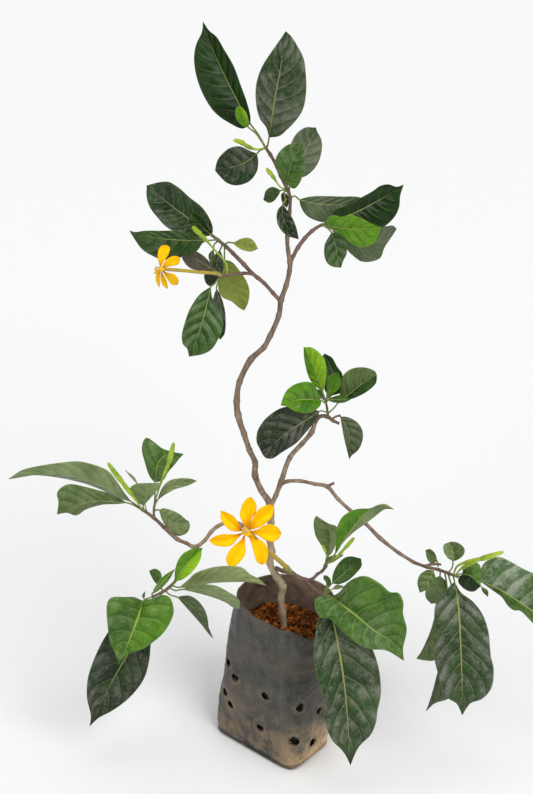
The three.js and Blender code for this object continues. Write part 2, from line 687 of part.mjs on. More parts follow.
        [[184, 595.6], [191, 596.2], [198.6, 601.3], [205, 610.3], [207.9, 620], [209, 630]],
        [[182, 602.6], [191, 612.8], [201.2, 624.3], [209.5, 635]],
        [-5, -2],
      ),
      tiny_curl: blade(
        [[152, 597, -56]],
        [[143.8, 599, -55], [142.8, 595.5, -51], [144.8, 591.4, -47]],
        [[142, 596]],
        [[145, 595.6]],
        [2, 2],
        1.4,
      ),
    },
  },
  rim_upper_spray: {
    twigs: [[[317.4, 574, -30.8, 3], [322, 571.2, -33, 3], [325.5, 566, -35, 3.8], [327.5, 557, -36, 3]]],
    leaves: {
      grey_folded: blade(
        [],
        [[327.6, 557.5, -35], [330.8, 540, -30], [328, 526, -25], [316.3, 515.8, -21]],
        [[321, 545], [316, 536.8], [313.7, 526.3], [314.2, 519]],
        [[332.5, 552], [337, 540], [337.2, 527], [328.6, 523.4], [323.3, 520.4]],
        [-5, -3],
      ),
      small_fold: blade(
        [],
        [[326.5, 562, -35], [334, 557.8, -33], [343.8, 555, -32]],
        [[329.5, 556.8], [337, 555]],
        [[331.5, 562.8], [338, 559]],
        [3, 2],
      ),
    },
  },
  rim_lower_spray: {
    twigs: [[[316.6, 590, -41.4, 2.6], [320.5, 592.5, -46, 3.6], [324, 594, -50, 4.6],
      [327.5, 596, -54, 3.4]]],
    leaves: {
      glossy_upper: blade(
        [[324.5, 593.5, -50], [328, 588.5, -49]],
        [[332, 583.5, -48], [342.6, 574.4, -44], [353, 564.5, -42], [361, 558.5, -42]],
        [[332.6, 575.4], [337.3, 564.9], [344.3, 557.9], [350.5, 556.3]],
        [[339, 584.2], [347.9, 580.6], [356.6, 572.8], [361.7, 565.7]],
        [-3, -3],
      ),
      small_curl: blade(
        [[322.5, 592.5, -48]],
        [[325.5, 588.5, -44], [328.5, 582, -40], [323.4, 575.5, -36]],
        [[326, 582.5], [323.6, 579]],
        [[330.8, 584], [330.5, 579.5], [327, 575.6]],
        [-1, 2],
        1.4,
      ),
      silver_sliver: blade(
        [[325, 594, -51]],
        [[331.5, 589.5, -48], [338, 586.4, -40], [345, 586.6, -34]],
        [[337, 584.6]],
        [[338.5, 589.3]],
        [2, 2],
        1.4,
      ),
      large_hanging: blade(
        [[327.5, 596, -54]],
        [[329.4, 604, -60], [335, 630, -77], [342, 668, -88], [346.5, 706, -93], [350.5, 765.3, -96]],
        [[319, 616], [315.4, 633], [313.7, 654.3], [315.4, 670], [321.6, 691], [325, 705], [324.3, 719],
          [332, 740],
          [340.8, 749], [346, 756]],
        [[347, 612], [362, 630], [374, 652.5], [379.4, 671.8], [380.8, 694.6], [377.6, 710.4], [376, 722.7],
          [370.6, 735], [360, 745.4], [354.9, 754.2]],
        [-5, -5],
      ),
    },
  },
  far_right_spray: {
    twigs: [
      [[414.4, 562.6, -35, 3.2], [427, 567, -39, 3.4], [438, 569.5, -42, 3.2], [449, 573.5, -46, 3.4],
        [455, 576, -49, 2.6]],
      [[424, 565.8, -38.4, 2.2], [433, 564, -37.6, 2.8], [441, 564.5, -37, 2.2]],
    ],
    leaves: {
      small_left: blade(
        [[438, 566.5, -38]],
        [[437.4, 561.7, -37], [432.5, 555, -34], [425.4, 550.2, -32]],
        [[430, 562.5], [426.5, 557]],
        [[435.2, 553.8], [430, 549]],
        [-2, -2],
      ),
      heart: blade(
        [[449, 572, -47], [452.3, 567.3, -48]],
        [[453, 561.4, -48], [453, 551, -42], [450, 541.8, -36]],
        [[447.3, 557.5], [443.6, 551], [443.6, 545]],
        [[458, 559.6], [463.5, 554.9], [464.7, 549.5], [461, 544.6], [455, 541.8]],
        [-3, -3],
      ),
      curled_cup: blade(
        [[455, 575, -50]],
        [[462, 574, -53], [471, 576, -60], [480.5, 586.5, -62]],
        [[464.7, 565], [471, 561.8], [478.4, 563.4], [481.6, 571]],
        [[458, 581], [466, 590], [474, 591.5]],
        [4, 10],
      ),
      wide_right: blade(
        [[455, 576, -48], [467, 577, -40]],
        [[478, 580, -32], [499.5, 589.7, -26], [522, 604, -22], [552, 626, -22], [580, 650, -28]],
        [[484, 563], [498.3, 556.7], [510.7, 561.7], [523, 568.6], [538, 576], [556, 592], [570, 616],
          [577, 636]],
        [[492, 590], [502, 597.4], [508, 606], [514.5, 610.6], [519.4, 610.4], [529.4, 619.6],
          [544, 634], [562, 646]],
        [-6, -3],
      ),
      little_hanging: blade(
        [[456, 577, -49], [470, 582, -48]],
        [[481, 586, -48], [485.5, 591, -49], [488, 597, -50]],
        [[482.5, 591.5]],
        [[488, 591]],
        [2, 2],
        1.4,
      ),
      large_hanging: blade(
        [[453, 576, -49]],
        [[454.5, 581.5, -55], [458.5, 605, -70], [460.5, 640, -80], [462, 680, -84], [462.2, 715.3, -82]],
        [[446, 590], [436, 603.4], [434.2, 616], [436.7, 639.5], [433.6, 652], [438.6, 676.8],
          [442.3, 691.7],
          [448, 698.5], [456.5, 703.5]],
        [[461, 592.5], [472.2, 600.9], [482, 613.3], [488.3, 630.7], [491, 656.9], [493.6, 668],
          [491.4, 688], [482, 699],
          [470.9, 703], [466, 709]],
        [-5, -6],
      ),
      oval_left: blade(
        [[434, 568.5, -41]],
        [[433.5, 570.5, -44], [428, 581, -50], [419.9, 592.8, -54]],
        [[427.4, 569.8], [419.9, 574.8], [417.4, 583]],
        [[435.8, 579.8], [428.6, 588.6]],
        [-2, -2],
      ),
      pale_behind: blade(
        [[440, 570.5, -42]],
        [[440, 575.5, -40], [435, 590, -36], [431, 603.6, -33]],
        [[432, 580], [425.5, 591], [426, 598]],
        [[447, 583], [445, 597], [437.5, 603]],
        [-2, -2],
      ),
      hidden_low: blade(
        [[444, 572, -44], [447, 586, -40]],
        [[447, 598, -37], [436, 630, -34], [416.4, 658.7, -32]],
        [[438, 608], [430, 632], [421, 652]],
        [[455, 615], [449, 642], [435, 660], [425, 660.5]],
        [-3, -3],
      ),
      hidden_lowest: blade(
        [[448, 573.5, -45], [455, 600, -46]],
        [[456, 625, -47], [446, 670, -48], [425.9, 711.6, -52]],
        [[446, 640], [437.5, 672], [431.5, 695]],
        [[464, 655], [458, 690], [447.9, 699], [434.5, 703.5]],
        [-3, -3],
      ),
    },
  },
};

// Young leaves and leaf buds, each seated on the twig end that bears it.
const YOUNG_LEAVES = {
  crown_young_leaf: {
    bearer: 'crown_spray',
    leaf: blade(
      [[262.5, 143, -5], [255.5, 133, -11]],
      [[248.6, 127.5, -15], [242.5, 116, -19], [239.5, 105.5, -22]],
      [[243, 126.3], [237, 120], [235.2, 113], [236.6, 107.5]],
      [[248.2, 119], [245.6, 111.8]],
      [-3, -3],
    ),
  },
  neck_young_leaf: {
    bearer: 'neck_spray',
    leaf: blade(
      [[287.5, 189.5, -2]],
      [[286, 184, -7], [292.8, 160, -20], [303, 143.3, -30]],
      [[279.5, 174.7], [275.2, 163.8], [277, 155.4], [284.3, 146.9], [291.6, 143.6]],
      [[294, 188.7], [298.9, 184.4], [303.7, 172.3], [304.9, 163.8], [302.7, 153]],
    ),
  },
  upper_right_young_leaf: {
    bearer: 'upper_right_spray',
    leaf: blade(
      [[321, 225.4, 9]],
      [[324, 225, 4], [350.8, 229, -9], [381.4, 226.6, -24]],
      [[328.4, 216.8], [335.5, 215.4], [339.6, 217], [350.8, 214.9], [360, 218], [370.2, 223], [377, 226]],
      [[333, 229], [341.6, 235.3], [349.8, 242.4], [358, 247], [368.2, 246.5], [375.3, 241.4],
        [379.4, 232.5]],
    ),
  },
  upper_left_young_leaf: {
    bearer: 'upper_left_spray',
    leaf: blade(
      [[224.5, 245.5, -11], [227.5, 242.6, -15]],
      [[233.2, 242.8, -18], [244.4, 245.9, -24], [258, 248.6, -29]],
      [[241.9, 238.4], [249.4, 238], [254.3, 241.5]],
      [[235.7, 246], [243, 250.2], [251.8, 251.5]],
      [-3, -3],
    ),
  },
  middle_young_leaf_up: {
    bearer: 'middle_spray',
    leaf: blade(
      [[325.4, 401, 21.5]],
      [[323, 393, 15], [315.8, 371.7, 8], [303.6, 347.2, 2]],
      [[310.7, 380.9], [306.6, 370.7], [304, 357.4]],
      [[326, 380], [326.5, 370.7], [324.5, 359.5], [318.9, 352.3], [311.7, 347.4]],
      [-3, -4],
    ),
  },
  middle_young_leaf_left: {
    bearer: 'middle_spray',
    leaf: blade(
      [[326, 403.5, 20]],
      [[321, 400.5, 10], [300, 399.5, -8], [280.6, 405.4, -22]],
      [[313.8, 384], [306.6, 381.7], [294.4, 384.5], [286.2, 391], [282.7, 398.3]],
      [[320.6, 405], [314.8, 410.5], [305.6, 413.4], [294.4, 411], [286.2, 406.4]],
      [-4, -4],
    ),
  },
  low_left_young_leaf_up: {
    bearer: 'low_left_spray',
    leaf: blade(
      [[172, 586, -51]],
      [[174.4, 582, -56], [186, 565, -58], [202.4, 547.8, -54]],
      [[175, 570.7], [178, 560.5], [183.3, 553.5], [192, 549]],
      [[183.3, 579], [192, 572], [199.9, 560.5]],
      [-4, -4],
    ),
  },
  low_left_young_leaf_folded: {
    bearer: 'low_left_spray',
    leaf: blade(
      [],
      [[152, 594, -57], [161, 584, -64], [175, 568.8, -68]],
      [[154.5, 588], [163, 576.6]],
      [[158, 591], [169, 580]],
      [3, 4],
    ),
  },
  low_left_front_leaf: {
    bearer: 'low_left_spray',
    leaf: blade(
      [[153.5, 599.5, -60]],
      [[143, 601, -68], [137, 620, -78], [127, 646, -84], [118.9, 665, -86]],
      [[134, 597], [124.6, 597], [111, 597.6], [107.2, 603], [108, 629.4], [110.6, 643.4], [115.7, 654]],
      [[151.4, 598.8], [164, 595], [170, 597.5], [173.8, 610.3], [171.8, 619], [164.2, 632], [151.4, 643.4],
        [141, 649.8], [127.2, 654]],
      [-6, -6],
    ),
  },
  rim_young_leaf_up: {
    bearer: 'rim_upper_spray',
    leaf: blade(
      [[326.5, 563, -39]],
      [[335, 554, -50], [350.5, 531, -56], [368, 511, -60], [384, 504, -64], [393.8, 509.2, -68]],
      [[336, 540], [336.8, 528], [342.6, 516.7], [351.4, 510.9], [360, 508.6], [370, 508.5], [379, 505]],
      [[342.6, 543.4], [353, 532.8], [365.4, 523.8], [375, 516.5], [384.7, 509.4]],
      [-4, 8],
    ),
  },
  rim_front_leaf: {
    bearer: 'rim_lower_spray',
    leaf: blade(
      [[325.5, 595.5, -55]],
      [[331, 596.6, -64], [354.9, 614.8, -84], [374, 630.6, -98], [393.4, 643, -108], [404, 660.8, -112]],
      [[322, 595], [315, 600], [316.3, 612], [321.6, 618], [327.7, 617.8], [335.6, 623.6], [347.9, 635.9],
        [360, 645.5], [372, 649.4], [386, 650.4]],
      [[339, 592.5], [346, 584], [354.9, 578], [365.4, 576], [381, 584], [390, 592], [398.7, 592.9],
        [403.4, 602],
        [403, 613], [406.8, 629.7], [403, 649]],
      [-4, -6],
    ),
  },
};

const BUDS = {
  crown_bud: {
    bearer: 'crown_spray',
    bud: bud([[264.5, 150, -9], [256, 149.4, -15], [247, 146, -20], [240.7, 142, -24],
      [233.5, 140.2, -28]], 4.6),
  },
  neck_bud: {
    bearer: 'neck_spray',
    bud: bud([[287, 189.5, -2], [281, 187.5, -5.5], [273.3, 177, -11], [266.6, 168.5, -14]], 4.3, 0.5),
  },
  long_stalked_bud: {
    bearer: 'left_hanging_spray',
    bud: bud(
      [[233, 273.4, -13], [225.7, 263.3, -21], [213.3, 248.4, -31], [203.3, 237.2, -39],
        [192.5, 226.6, -46]],
      5.2,
      0.36,
    ),
  },
  far_left_bud_low: {
    bearer: 'far_left_spray',
    bud: bud([[142, 509.5, -31], [135, 499, -45], [119, 478, -52], [107.8, 463, -52]], 5.4),
  },
  far_left_bud_high: {
    bearer: 'far_left_spray',
    bud: bud([[155.3, 500, -26], [160.8, 483, -32], [168.6, 463, -34], [173.9, 442.6, -33]], 5),
  },
  rim_bud_right: {
    bearer: 'rim_upper_spray',
    bud: bud([[326, 567, -38], [337, 557, -56], [346, 547, -64], [354.3, 537.7, -68]], 4.2, 0.6),
  },
  rim_bud_left: {
    bearer: 'rim_upper_spray',
    bud: bud([[327, 560, -37], [325.5, 551.5, -42], [322.4, 545, -45]], 3),
  },
  far_right_bud_long: {
    bearer: 'far_right_spray',
    bud: bud([[453, 574, -50], [459, 565, -62], [482, 558.6, -72], [503.3, 551.8, -78]], 5.4),
  },
  far_right_bud_short: {
    bearer: 'far_right_spray',
    bud: bud([[455, 576, -51], [461, 569, -66], [472, 563, -78], [480, 558, -84]], 4.4),
  },
};

// The two blooms: petals round the mouth of a long tube, a club-shaped stigma and a calyx on the twig.
const BLOOMS = {
  large_bloom: {
    mouth: [245.2, 531.4, -53.5],
    mouthWidth: 9,
    tube: [[288.6, 569, -15], [279, 560.5, -22], [266, 549, -32], [253, 537, -42]],
    tubeWidth: 5.4,
    calyx: [[291, 572.6, -12.5, 5.4], [288.5, 570, -15.5, 5.6], [286, 567.5, -18, 6.4]],
    stigma: [[247, 533.5, -50, 2.2], [245.6, 530.2, -57, 5.6], [244.6, 527.6, -60, 3]],
    petals: {
      top: blade(
        [],
        [[246, 529.5, -49], [249, 514, -43], [251.3, 496.7, -35]],
        [[242.8, 522.3], [239.8, 515.6], [241.9, 505.6], [246.7, 498.6]],
        [[249.5, 526], [251.5, 518.5], [255.8, 511.8], [256.5, 505], [254.3, 500.6]],
      ),
      upper_right: blade(
        [],
        [[247.5, 530.5, -50], [261, 517, -48], [273.7, 505.6, -42]],
        [[251.5, 520.4], [256.2, 511.8], [262, 507], [268.7, 504.6]],
        [[257.2, 528], [265.8, 523.3], [271.6, 517.5], [273.6, 510.8]],
      ),
      right: blade(
        [],
        [[248.5, 531.8, -50], [264, 532.5, -54], [281.4, 532.8, -52]],
        [[258.2, 529], [263.9, 525.2], [271.6, 524.4], [278.3, 527.6]],
        [[258.2, 535.7], [265.8, 540.5], [274.4, 541.5], [279.7, 537.6]],
      ),
      lower_right: blade(
        [],
        [[247.5, 533.5, -50], [256.5, 549, -58], [262, 564.6, -60]],
        [[254.3, 538.6], [262, 540.5], [266.8, 546.2], [268.2, 555.8], [266.3, 562.5]],
        [[251.5, 544.3], [254.3, 554.9], [257.4, 562.5]],
      ),
      lower_left: blade(
        [],
        [[245, 534, -50], [238.5, 550, -58], [228.5, 566, -62]],
        [[240, 540.5], [233.3, 546.2], [228.5, 552], [226, 559.6]],
        [[245.2, 546.2], [245.7, 552], [241.9, 559.6], [235, 566]],
      ),
      left: blade(
        [],
        [[243, 533, -50], [226, 539.5, -54], [208.9, 540.5, -54]],
        [[234.2, 534.3], [221.8, 534.3], [214, 536.7]],
        [[237, 539.5], [231.4, 545.3], [223.7, 546.7], [214, 544.8]],
      ),
      upper_left: blade(
        [],
        [[243, 531, -50], [231, 521.5, -46], [220.8, 510.4, -40]],
        [[238, 522.3], [234.2, 516.6], [227.5, 512.8]],
        [[233.3, 531.4], [228.5, 529], [223.7, 524.2], [220.4, 516.6]],
      ),
    },
  },
  small_bloom: {
    mouth: [159.8, 269.2, -67],
    mouthWidth: 5.4,
    tube: [[217, 273.2, -26], [199.6, 272.2, -40], [182.2, 270.5, -52], [163, 269.2, -63]],
    tubeWidth: 3.4,
    calyx: [[221, 276, -23.4, 3], [218.5, 274, -25.4, 3.8], [215.5, 273.2, -27.6, 4]],
    stigma: [[160.2, 269.2, -65, 1.6], [157.2, 268.9, -71, 4.4], [155.5, 268.8, -73, 2.6]],
    petals: {
      top: blade(
        [],
        [[160.2, 268, -64], [163.5, 256, -62], [166.6, 244.9, -59]],
        [[157.8, 258], [158.6, 249.6], [162, 245.6]],
        [[163.5, 262], [169, 253.3], [169.8, 247.7]],
        [-2, 2],
      ),
      upper_back: blade(
        [],
        [[161.5, 268.5, -63], [171, 261.5, -58], [180.3, 259.6, -53]],
        [[166, 260], [173.5, 256], [178.6, 256.8]],
        [[169.8, 266.4], [178.5, 263.9]],
        [-2, 2],
      ),
      lower_back: blade(
        [],
        [[161.5, 270, -63], [170.5, 278, -58], [177.8, 285, -54]],
        [[167.3, 272.6], [174.7, 274.5], [178.7, 280.7]],
        [[166, 277], [172, 284.6]],
        [-2, 2],
      ),
      low: blade(
        [],
        [[160.6, 270.6, -64.5], [164, 280, -64], [167.9, 288.8, -62]],
        [[163.4, 274.6], [166.6, 280.5]],
        [[161, 279.5], [163.4, 286.2]],
        [-2, 2],
      ),
      low_front: blade(
        [],
        [[159.6, 270.6, -65], [158.4, 279, -71], [159.3, 287.3, -76]],
        [[156, 275.7], [156.5, 282.5]],
        [[160.4, 279.5]],
        [4, -6],
      ),
      near: blade(
        [],
        [[159.8, 269.4, -65], [156.6, 271, -74], [153.4, 273.6, -83]],
        [[157.4, 269.6]],
        [[157.6, 273.6]],
        [4, 2],
      ),
    },
  },
};

function spraySolid({ twigs, leaves }) {
  const blades = Object.values(leaves).map((leaf) => leafSolid(leaf, twigs));
  return fuse([...twigs.map((run) => twig(run)), ...blades]);
}

// The space that a spray's twigs and stalks need, which what sits on it keeps out of.
function sprayRoom({ twigs, leaves }) {
  const stalks = Object.values(leaves).map((leaf) => room(stalkRun(leaf, twigs), 4));
  return fuse([...twigs.map((run) => room(run)), ...stalks]);
}

function bloomSolid({ mouth, mouthWidth, tube, tubeWidth, petals }) {
  const run = [...tube.map((p) => [...p, tubeWidth]), [...mouth, mouthWidth]];
  const blades = Object.values(petals).map((petal) => bladeSolid(petal, 4, 1, PETAL_THICKNESS));
  return fuse([twig(run, 7), ...blades]);
}

// The bag. Its rings run from the foot, a rounded rectangle, to the round and uneven rim.

function rimHeight(direction) {
  const fullTurn = 2 * Math.PI;
  const share = THREE.MathUtils.euclideanModulo(direction, fullTurn) / fullTurn;
  const turns = share * BAG_RIM_HEIGHTS.length;
  const low = Math.floor(turns) % BAG_RIM_HEIGHTS.length;
  const high = (low + 1) % BAG_RIM_HEIGHTS.length;
  const part = (1 - Math.cos(Math.PI * (turns - Math.floor(turns)))) / 2;
  return THREE.MathUtils.lerp(BAG_RIM_HEIGHTS[low], BAG_RIM_HEIGHTS[high], part);
}

function bagPoint(side, level, inset) {
  const angle = (2 * Math.PI * (side + 0.5)) / BAG_SIDES;
  const turn = THREE.MathUtils.degToRad(BAG_FOOT_TURN);
  const opening = level ** 1.3;
  const rounding = level === 0 ? BAG_FOOT_ROUNDING : 0;
  const crease = BAG_CREASE * Math.sin(5 * angle + 11 * level) * Math.sin(Math.PI * level);
  const swell = BAG_BULGE * Math.sin(Math.PI * level ** 0.7) + crease - rounding - inset;
  const halfLength = THREE.MathUtils.lerp(BAG_FOOT_LENGTH / 2, BAG_RIM_RADIUS, opening) + swell;
  const halfWidth = THREE.MathUtils.lerp(BAG_FOOT_WIDTH / 2, BAG_RIM_RADIUS, opening) + swell;
  const roundness = THREE.MathUtils.lerp(BAG_FOOT_ROUNDNESS, 1, opening);
  const bend = (value) => Math.sign(value) * Math.abs(value) ** roundness;
  const local = new THREE.Vector2(halfLength * bend(Math.cos(angle)), halfWidth * bend(Math.sin(angle)));
  const centre = BAG_FOOT_CENTRE.clone().lerp(BAG_RIM_CENTRE, level);
  const place = local.rotateAround(new THREE.Vector2(), turn).add(centre);
  return new THREE.Vector3(place.x, place.y, level * rimHeight(angle + turn));
}

function bagRing(level, inset, floor) {
  return Array.from({ length: BAG_SIDES }, (_, side) => {
    const place = bagPoint(side, level, inset);
    place.z = Math.max(place.z, floor);
    return place;
  });
}

const centreOf = (ring) => ring.reduce((sum, p) => sum.add(p), new THREE.Vector3()).divideScalar(ring.length);

// A solid from rings of equal length, each over the one before, with a fan at each end.
function ringSolid(rings) {
  const count = BAG_SIDES;
  const points = [...rings.flat(), centreOf(rings[0]), centreOf(rings[rings.length - 1])];
  const [start, end] = [points.length - 2, points.length - 1];
  const topRing = (rings.length - 1) * count;
  const faces = [];
  for (let k = 0; k < count; k += 1) {
    const next = (k + 1) % count;
    for (let low = 0; low < topRing; low += count) {
      faces.push([low + k, low + next, low + count + next], [low + k, low + count + next, low + count + k]);
    }
    faces.push([start, next, k], [end, topRing + k, topRing + next]);
  }
  return solidOf({ points, faces });
}

// Punched holes: as sight columns and rows on the bag's near side, and as places beside its far side.
const HOLES = [
  [228, 662.5], [234.5, 677.7], [224.5, 692], [230.5, 704.5], [264.9, 696], [300, 708], [319, 710.5],
  [259.8, 727.5], [312.3, 742.4],
];
const WIDE_HOLE = [293.9, 741.3];
const FAR_HOLES = [[-30, 60, 60], [-5, 70, 25], [45, 50, 45]];
const HOLE_REACH = 6;

function punch(at, direction, radius) {
  const geometry = new THREE.CylinderGeometry(radius, radius, 2 * HOLE_REACH, 7);
  const turn = new THREE.Quaternion().setFromUnitVectors(new THREE.Vector3(0, 1, 0), direction);
  geometry.applyQuaternion(turn).translate(at.x, at.y, at.z);
  geometry.deleteAttribute('normal');
  geometry.deleteAttribute('uv');
  const merged = mergeVertices(geometry);
  const vertProperties = merged.attributes.position.array;
  const triVerts = Uint32Array.from(merged.index.array);
  return new wasm.Manifold(new wasm.Mesh({ numProp: 3, vertProperties, triVerts }));
}

function bagSolid() {
  const outside = ringSolid(BAG_LEVELS.map((level) => bagRing(level, 0, 0)));
  const insideRings = BAG_LEVELS.map((level) => bagRing(level, BAG_WALL, BAG_WALL));
  insideRings.push(insideRings[insideRings.length - 1].map((p) => p.clone().setZ(p.z + 20)));
  const skin = new THREE.Mesh(geometryOf(outside), new THREE.MeshBasicMaterial());
  const holeAt = (from, direction, radius) => {
    const [hit] = new THREE.Raycaster(from, direction).intersectObject(skin);
    return punch(hit.point, hit.face.normal, radius);
  };
  const nearHole = (spot, radius) => holeAt(EYE, sight([...spot, 0]).sub(EYE).normalize(), radius);
  const farHole = ([x, y, z]) => holeAt(
    new THREE.Vector3(3 * x, 3 * y, z),
    new THREE.Vector3(-x, -y, 0).normalize(),
    BAG_HOLE_RADIUS,
  );
  const holes = fuse([
    ...HOLES.map((spot) => nearHole(spot, BAG_HOLE_RADIUS)),
    nearHole(WIDE_HOLE, BAG_WIDE_HOLE_RADIUS),
    ...FAR_HOLES.map(farHole),
  ]);
  return outside.subtract(ringSolid(insideRings)).subtract(holes);
}

// The soil fills the bag to its level, with a low grainy mound round the stem.
function soilSolid() {
  const inset = BAG_WALL + GAP;
  const rings = BAG_LEVELS.slice(0, SOIL_SIDE_LEVELS).map((level) => bagRing(level, inset, inset));
  const above = bagRing(BAG_LEVELS[SOIL_SIDE_LEVELS], inset, inset);
  const edge = rings[rings.length - 1].map((p, k) => (
    p.clone().lerp(above[k], (SOIL_LEVEL - p.z) / (above[k].z - p.z))
  ));
  rings.push(edge);
  const middle = centreOf(edge);
  SOIL_RINGS.forEach((reach, i) => {
    rings.push(edge.map((p, k) => {
      const chance = Math.sin(12.9898 * (k + 1) + 78.233 * (i + 1)) * 43758.5453;
      const grain = GRAIN_HEIGHT * (chance - Math.floor(chance) - 0.5);
      const place = middle.clone().lerp(p, reach);
      return place.setZ(SOIL_LEVEL + SOIL_MOUND * (1 - reach ** 2) + grain);
    }));
  });
  return ringSolid(rings).subtract(room(TRUNK, 7));
}

// The nodes.
const group = new THREE.Group();
group.name = 'potted_gardenia';

function add(name, solid, material) {
  const mesh = new THREE.Mesh(geometryOf(largest(solid)), material);
  mesh.name = name;
  group.add(mesh);
}

const branches = Object.values(BRANCHES);
const wood = fuse([twig(TRUNK, 7), ...branches.map((run) => twig(run))]);
const woodRoom = fuse([room(TRUNK, 7), ...branches.map((run) => room(run))]);
const sprayRooms = Object.fromEntries(Object.entries(SPRAYS).map(([name, spray]) => (
  [name, sprayRoom(spray)]
)));
const twigRooms = Object.fromEntries(Object.entries(SPRAYS).map(([name, { twigs }]) => (
  [name, fuse(twigs.map((run) => room(run)))]
)));

add('grow_bag', bagSolid(), FILM());
add('potting_soil', soilSolid(), SOIL());
add('trunk_and_branches', wood, BARK());

const SPRAY_BEARERS = { crown_spray: 'neck_spray' };
for (const [name, spray] of Object.entries(SPRAYS)) {
  const bearer = SPRAY_BEARERS[name];
  const solid = spraySolid(spray).subtract(woodRoom);
  add(name, bearer ? solid.subtract(twigRooms[bearer]) : solid, LEAF());
}
for (const [name, { bearer, leaf }] of Object.entries(YOUNG_LEAVES)) {
  const { twigs } = SPRAYS[bearer];
  add(name, leafSolid(leaf, twigs).subtract(woodRoom).subtract(sprayRooms[bearer]), YOUNG_LEAF());
}
for (const [name, { bearer, bud: spindle }] of Object.entries(BUDS)) {
  const { twigs } = SPRAYS[bearer];
  add(name, budSolid(spindle, twigs).subtract(woodRoom).subtract(sprayRooms[bearer]), BUD());
}
for (const [name, bloom] of Object.entries(BLOOMS)) {
  const bearers = woodRoom.add(twigRooms.left_hanging_spray);
  const seats = fuse([room(bloom.calyx, 7), room(bloom.stigma)]);
  add(`${name}_corolla`, bloomSolid(bloom).subtract(seats).subtract(bearers), PETAL());
  add(`${name}_calyx`, twig(bloom.calyx, 7).subtract(bearers), CALYX());
  add(`${name}_stigma`, twig(bloom.stigma), STIGMA());
}

export default group;
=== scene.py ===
"""A young gardenia in a soft nursery grow bag: veined leaves, woody stem, buds, two blooms, film and soil."""
import math
import random

import bmesh
import bpy
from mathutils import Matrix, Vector, noise


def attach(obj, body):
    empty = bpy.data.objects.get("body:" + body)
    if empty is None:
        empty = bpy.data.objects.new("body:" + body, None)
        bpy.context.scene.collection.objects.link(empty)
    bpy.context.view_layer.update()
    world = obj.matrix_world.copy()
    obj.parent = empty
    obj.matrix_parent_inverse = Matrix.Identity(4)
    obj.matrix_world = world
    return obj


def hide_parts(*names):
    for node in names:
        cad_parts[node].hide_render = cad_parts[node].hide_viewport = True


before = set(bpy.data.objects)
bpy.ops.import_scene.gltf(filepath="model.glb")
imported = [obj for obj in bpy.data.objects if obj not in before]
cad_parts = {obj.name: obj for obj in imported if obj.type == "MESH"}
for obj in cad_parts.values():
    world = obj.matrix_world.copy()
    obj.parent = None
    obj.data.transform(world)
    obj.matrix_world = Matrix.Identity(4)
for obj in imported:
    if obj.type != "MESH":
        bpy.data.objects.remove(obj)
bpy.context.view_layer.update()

# Sizes in millimetres, as in the part's source.
BAG_FOOT_LENGTH = 105
BAG_FOOT_WIDTH = 63.5
BAG_FOOT_TURN = -41
BAG_FOOT_ROUNDING = 2
BAG_FOOT_ROUNDNESS = 0.25
BAG_RIM_RADIUS = 49
BAG_RIM_HEIGHTS = [166, 168, 169, 170, 172, 176, 180, 179, 176, 168, 155, 153]
BAG_BULGE = 2.5
BAG_CREASE = 0.9
BAG_CREASES, BAG_CREASE_TWIST = 5, 11
BAG_OPENING_CURVE, BAG_BULGE_CURVE = 1.3, 0.7
BAG_FOOT_CENTRE = (-3.1, 2.2)
BAG_RIM_CENTRE = (11, 0)
BAG_HOLE_RADIUS = 3.3
BAG_WIDE_HOLE_RADIUS = 5
FILM = 0.35
SOIL_LEVEL = 135.5
SOIL_MOUND = 4
LEAF_THICKNESS = 0.4
PETAL_THICKNESS = 0.5
PILLOW = 0.07
EDGE_WAVES = 2.5
EDGE_WAVE_HEIGHT = 0.05

# The photo's standpoint. A sight point is [column, row, depth]: see sight().
EYE = Vector((-9, -1142, 925))
EYE_TILT = math.radians(25)
EYE_FOCAL = 1367
MIDDLE_COLUMN = 266.5
MIDDLE_ROW = 397


def sight(point):
    """The place in millimetres on the line of sight through that column and row, at that depth."""
    column, row, depth = point[:3]
    across = (column - MIDDLE_COLUMN) / EYE_FOCAL
    above = (MIDDLE_ROW - row) / EYE_FOCAL
    ray = Vector((across, math.cos(EYE_TILT) + above * math.sin(EYE_TILT),
                  above * math.cos(EYE_TILT) - math.sin(EYE_TILT)))
    return EYE + ray * ((depth - EYE.y) / ray.y)


# ---- The plant's tables: the same points as in the part's source ----

STALK_WIDTH = 1.8


def petal(rib, left, right, lean=(-5, -5)):
    """A blade between two outlines, whose points are [column, row]. lean is how far back each edge lies."""
    return {"rib": rib, "left": left, "right": right, "lean": lean}


def blade(tones, stalk, rib, left, right, lean=(-5, -5), stalk_width=STALK_WIDTH):
    """tones: of the side towards the eye, as one word for both halves or as one for each."""
    return {**petal(rib, left, right, lean), "tones": tones, "stalk": stalk, "stalk_width": stalk_width}


def spray(twigs, **leaves):
    """A twig end: its twigs' sight points carry diameters."""
    return {"twigs": twigs, "leaves": leaves}


def bud(bearer, run, width, head=0.7):
    """A bud on its stalk. head is the share of its length that the bud itself takes."""
    return {"bearer": bearer, "run": run, "width": width, "head": head}


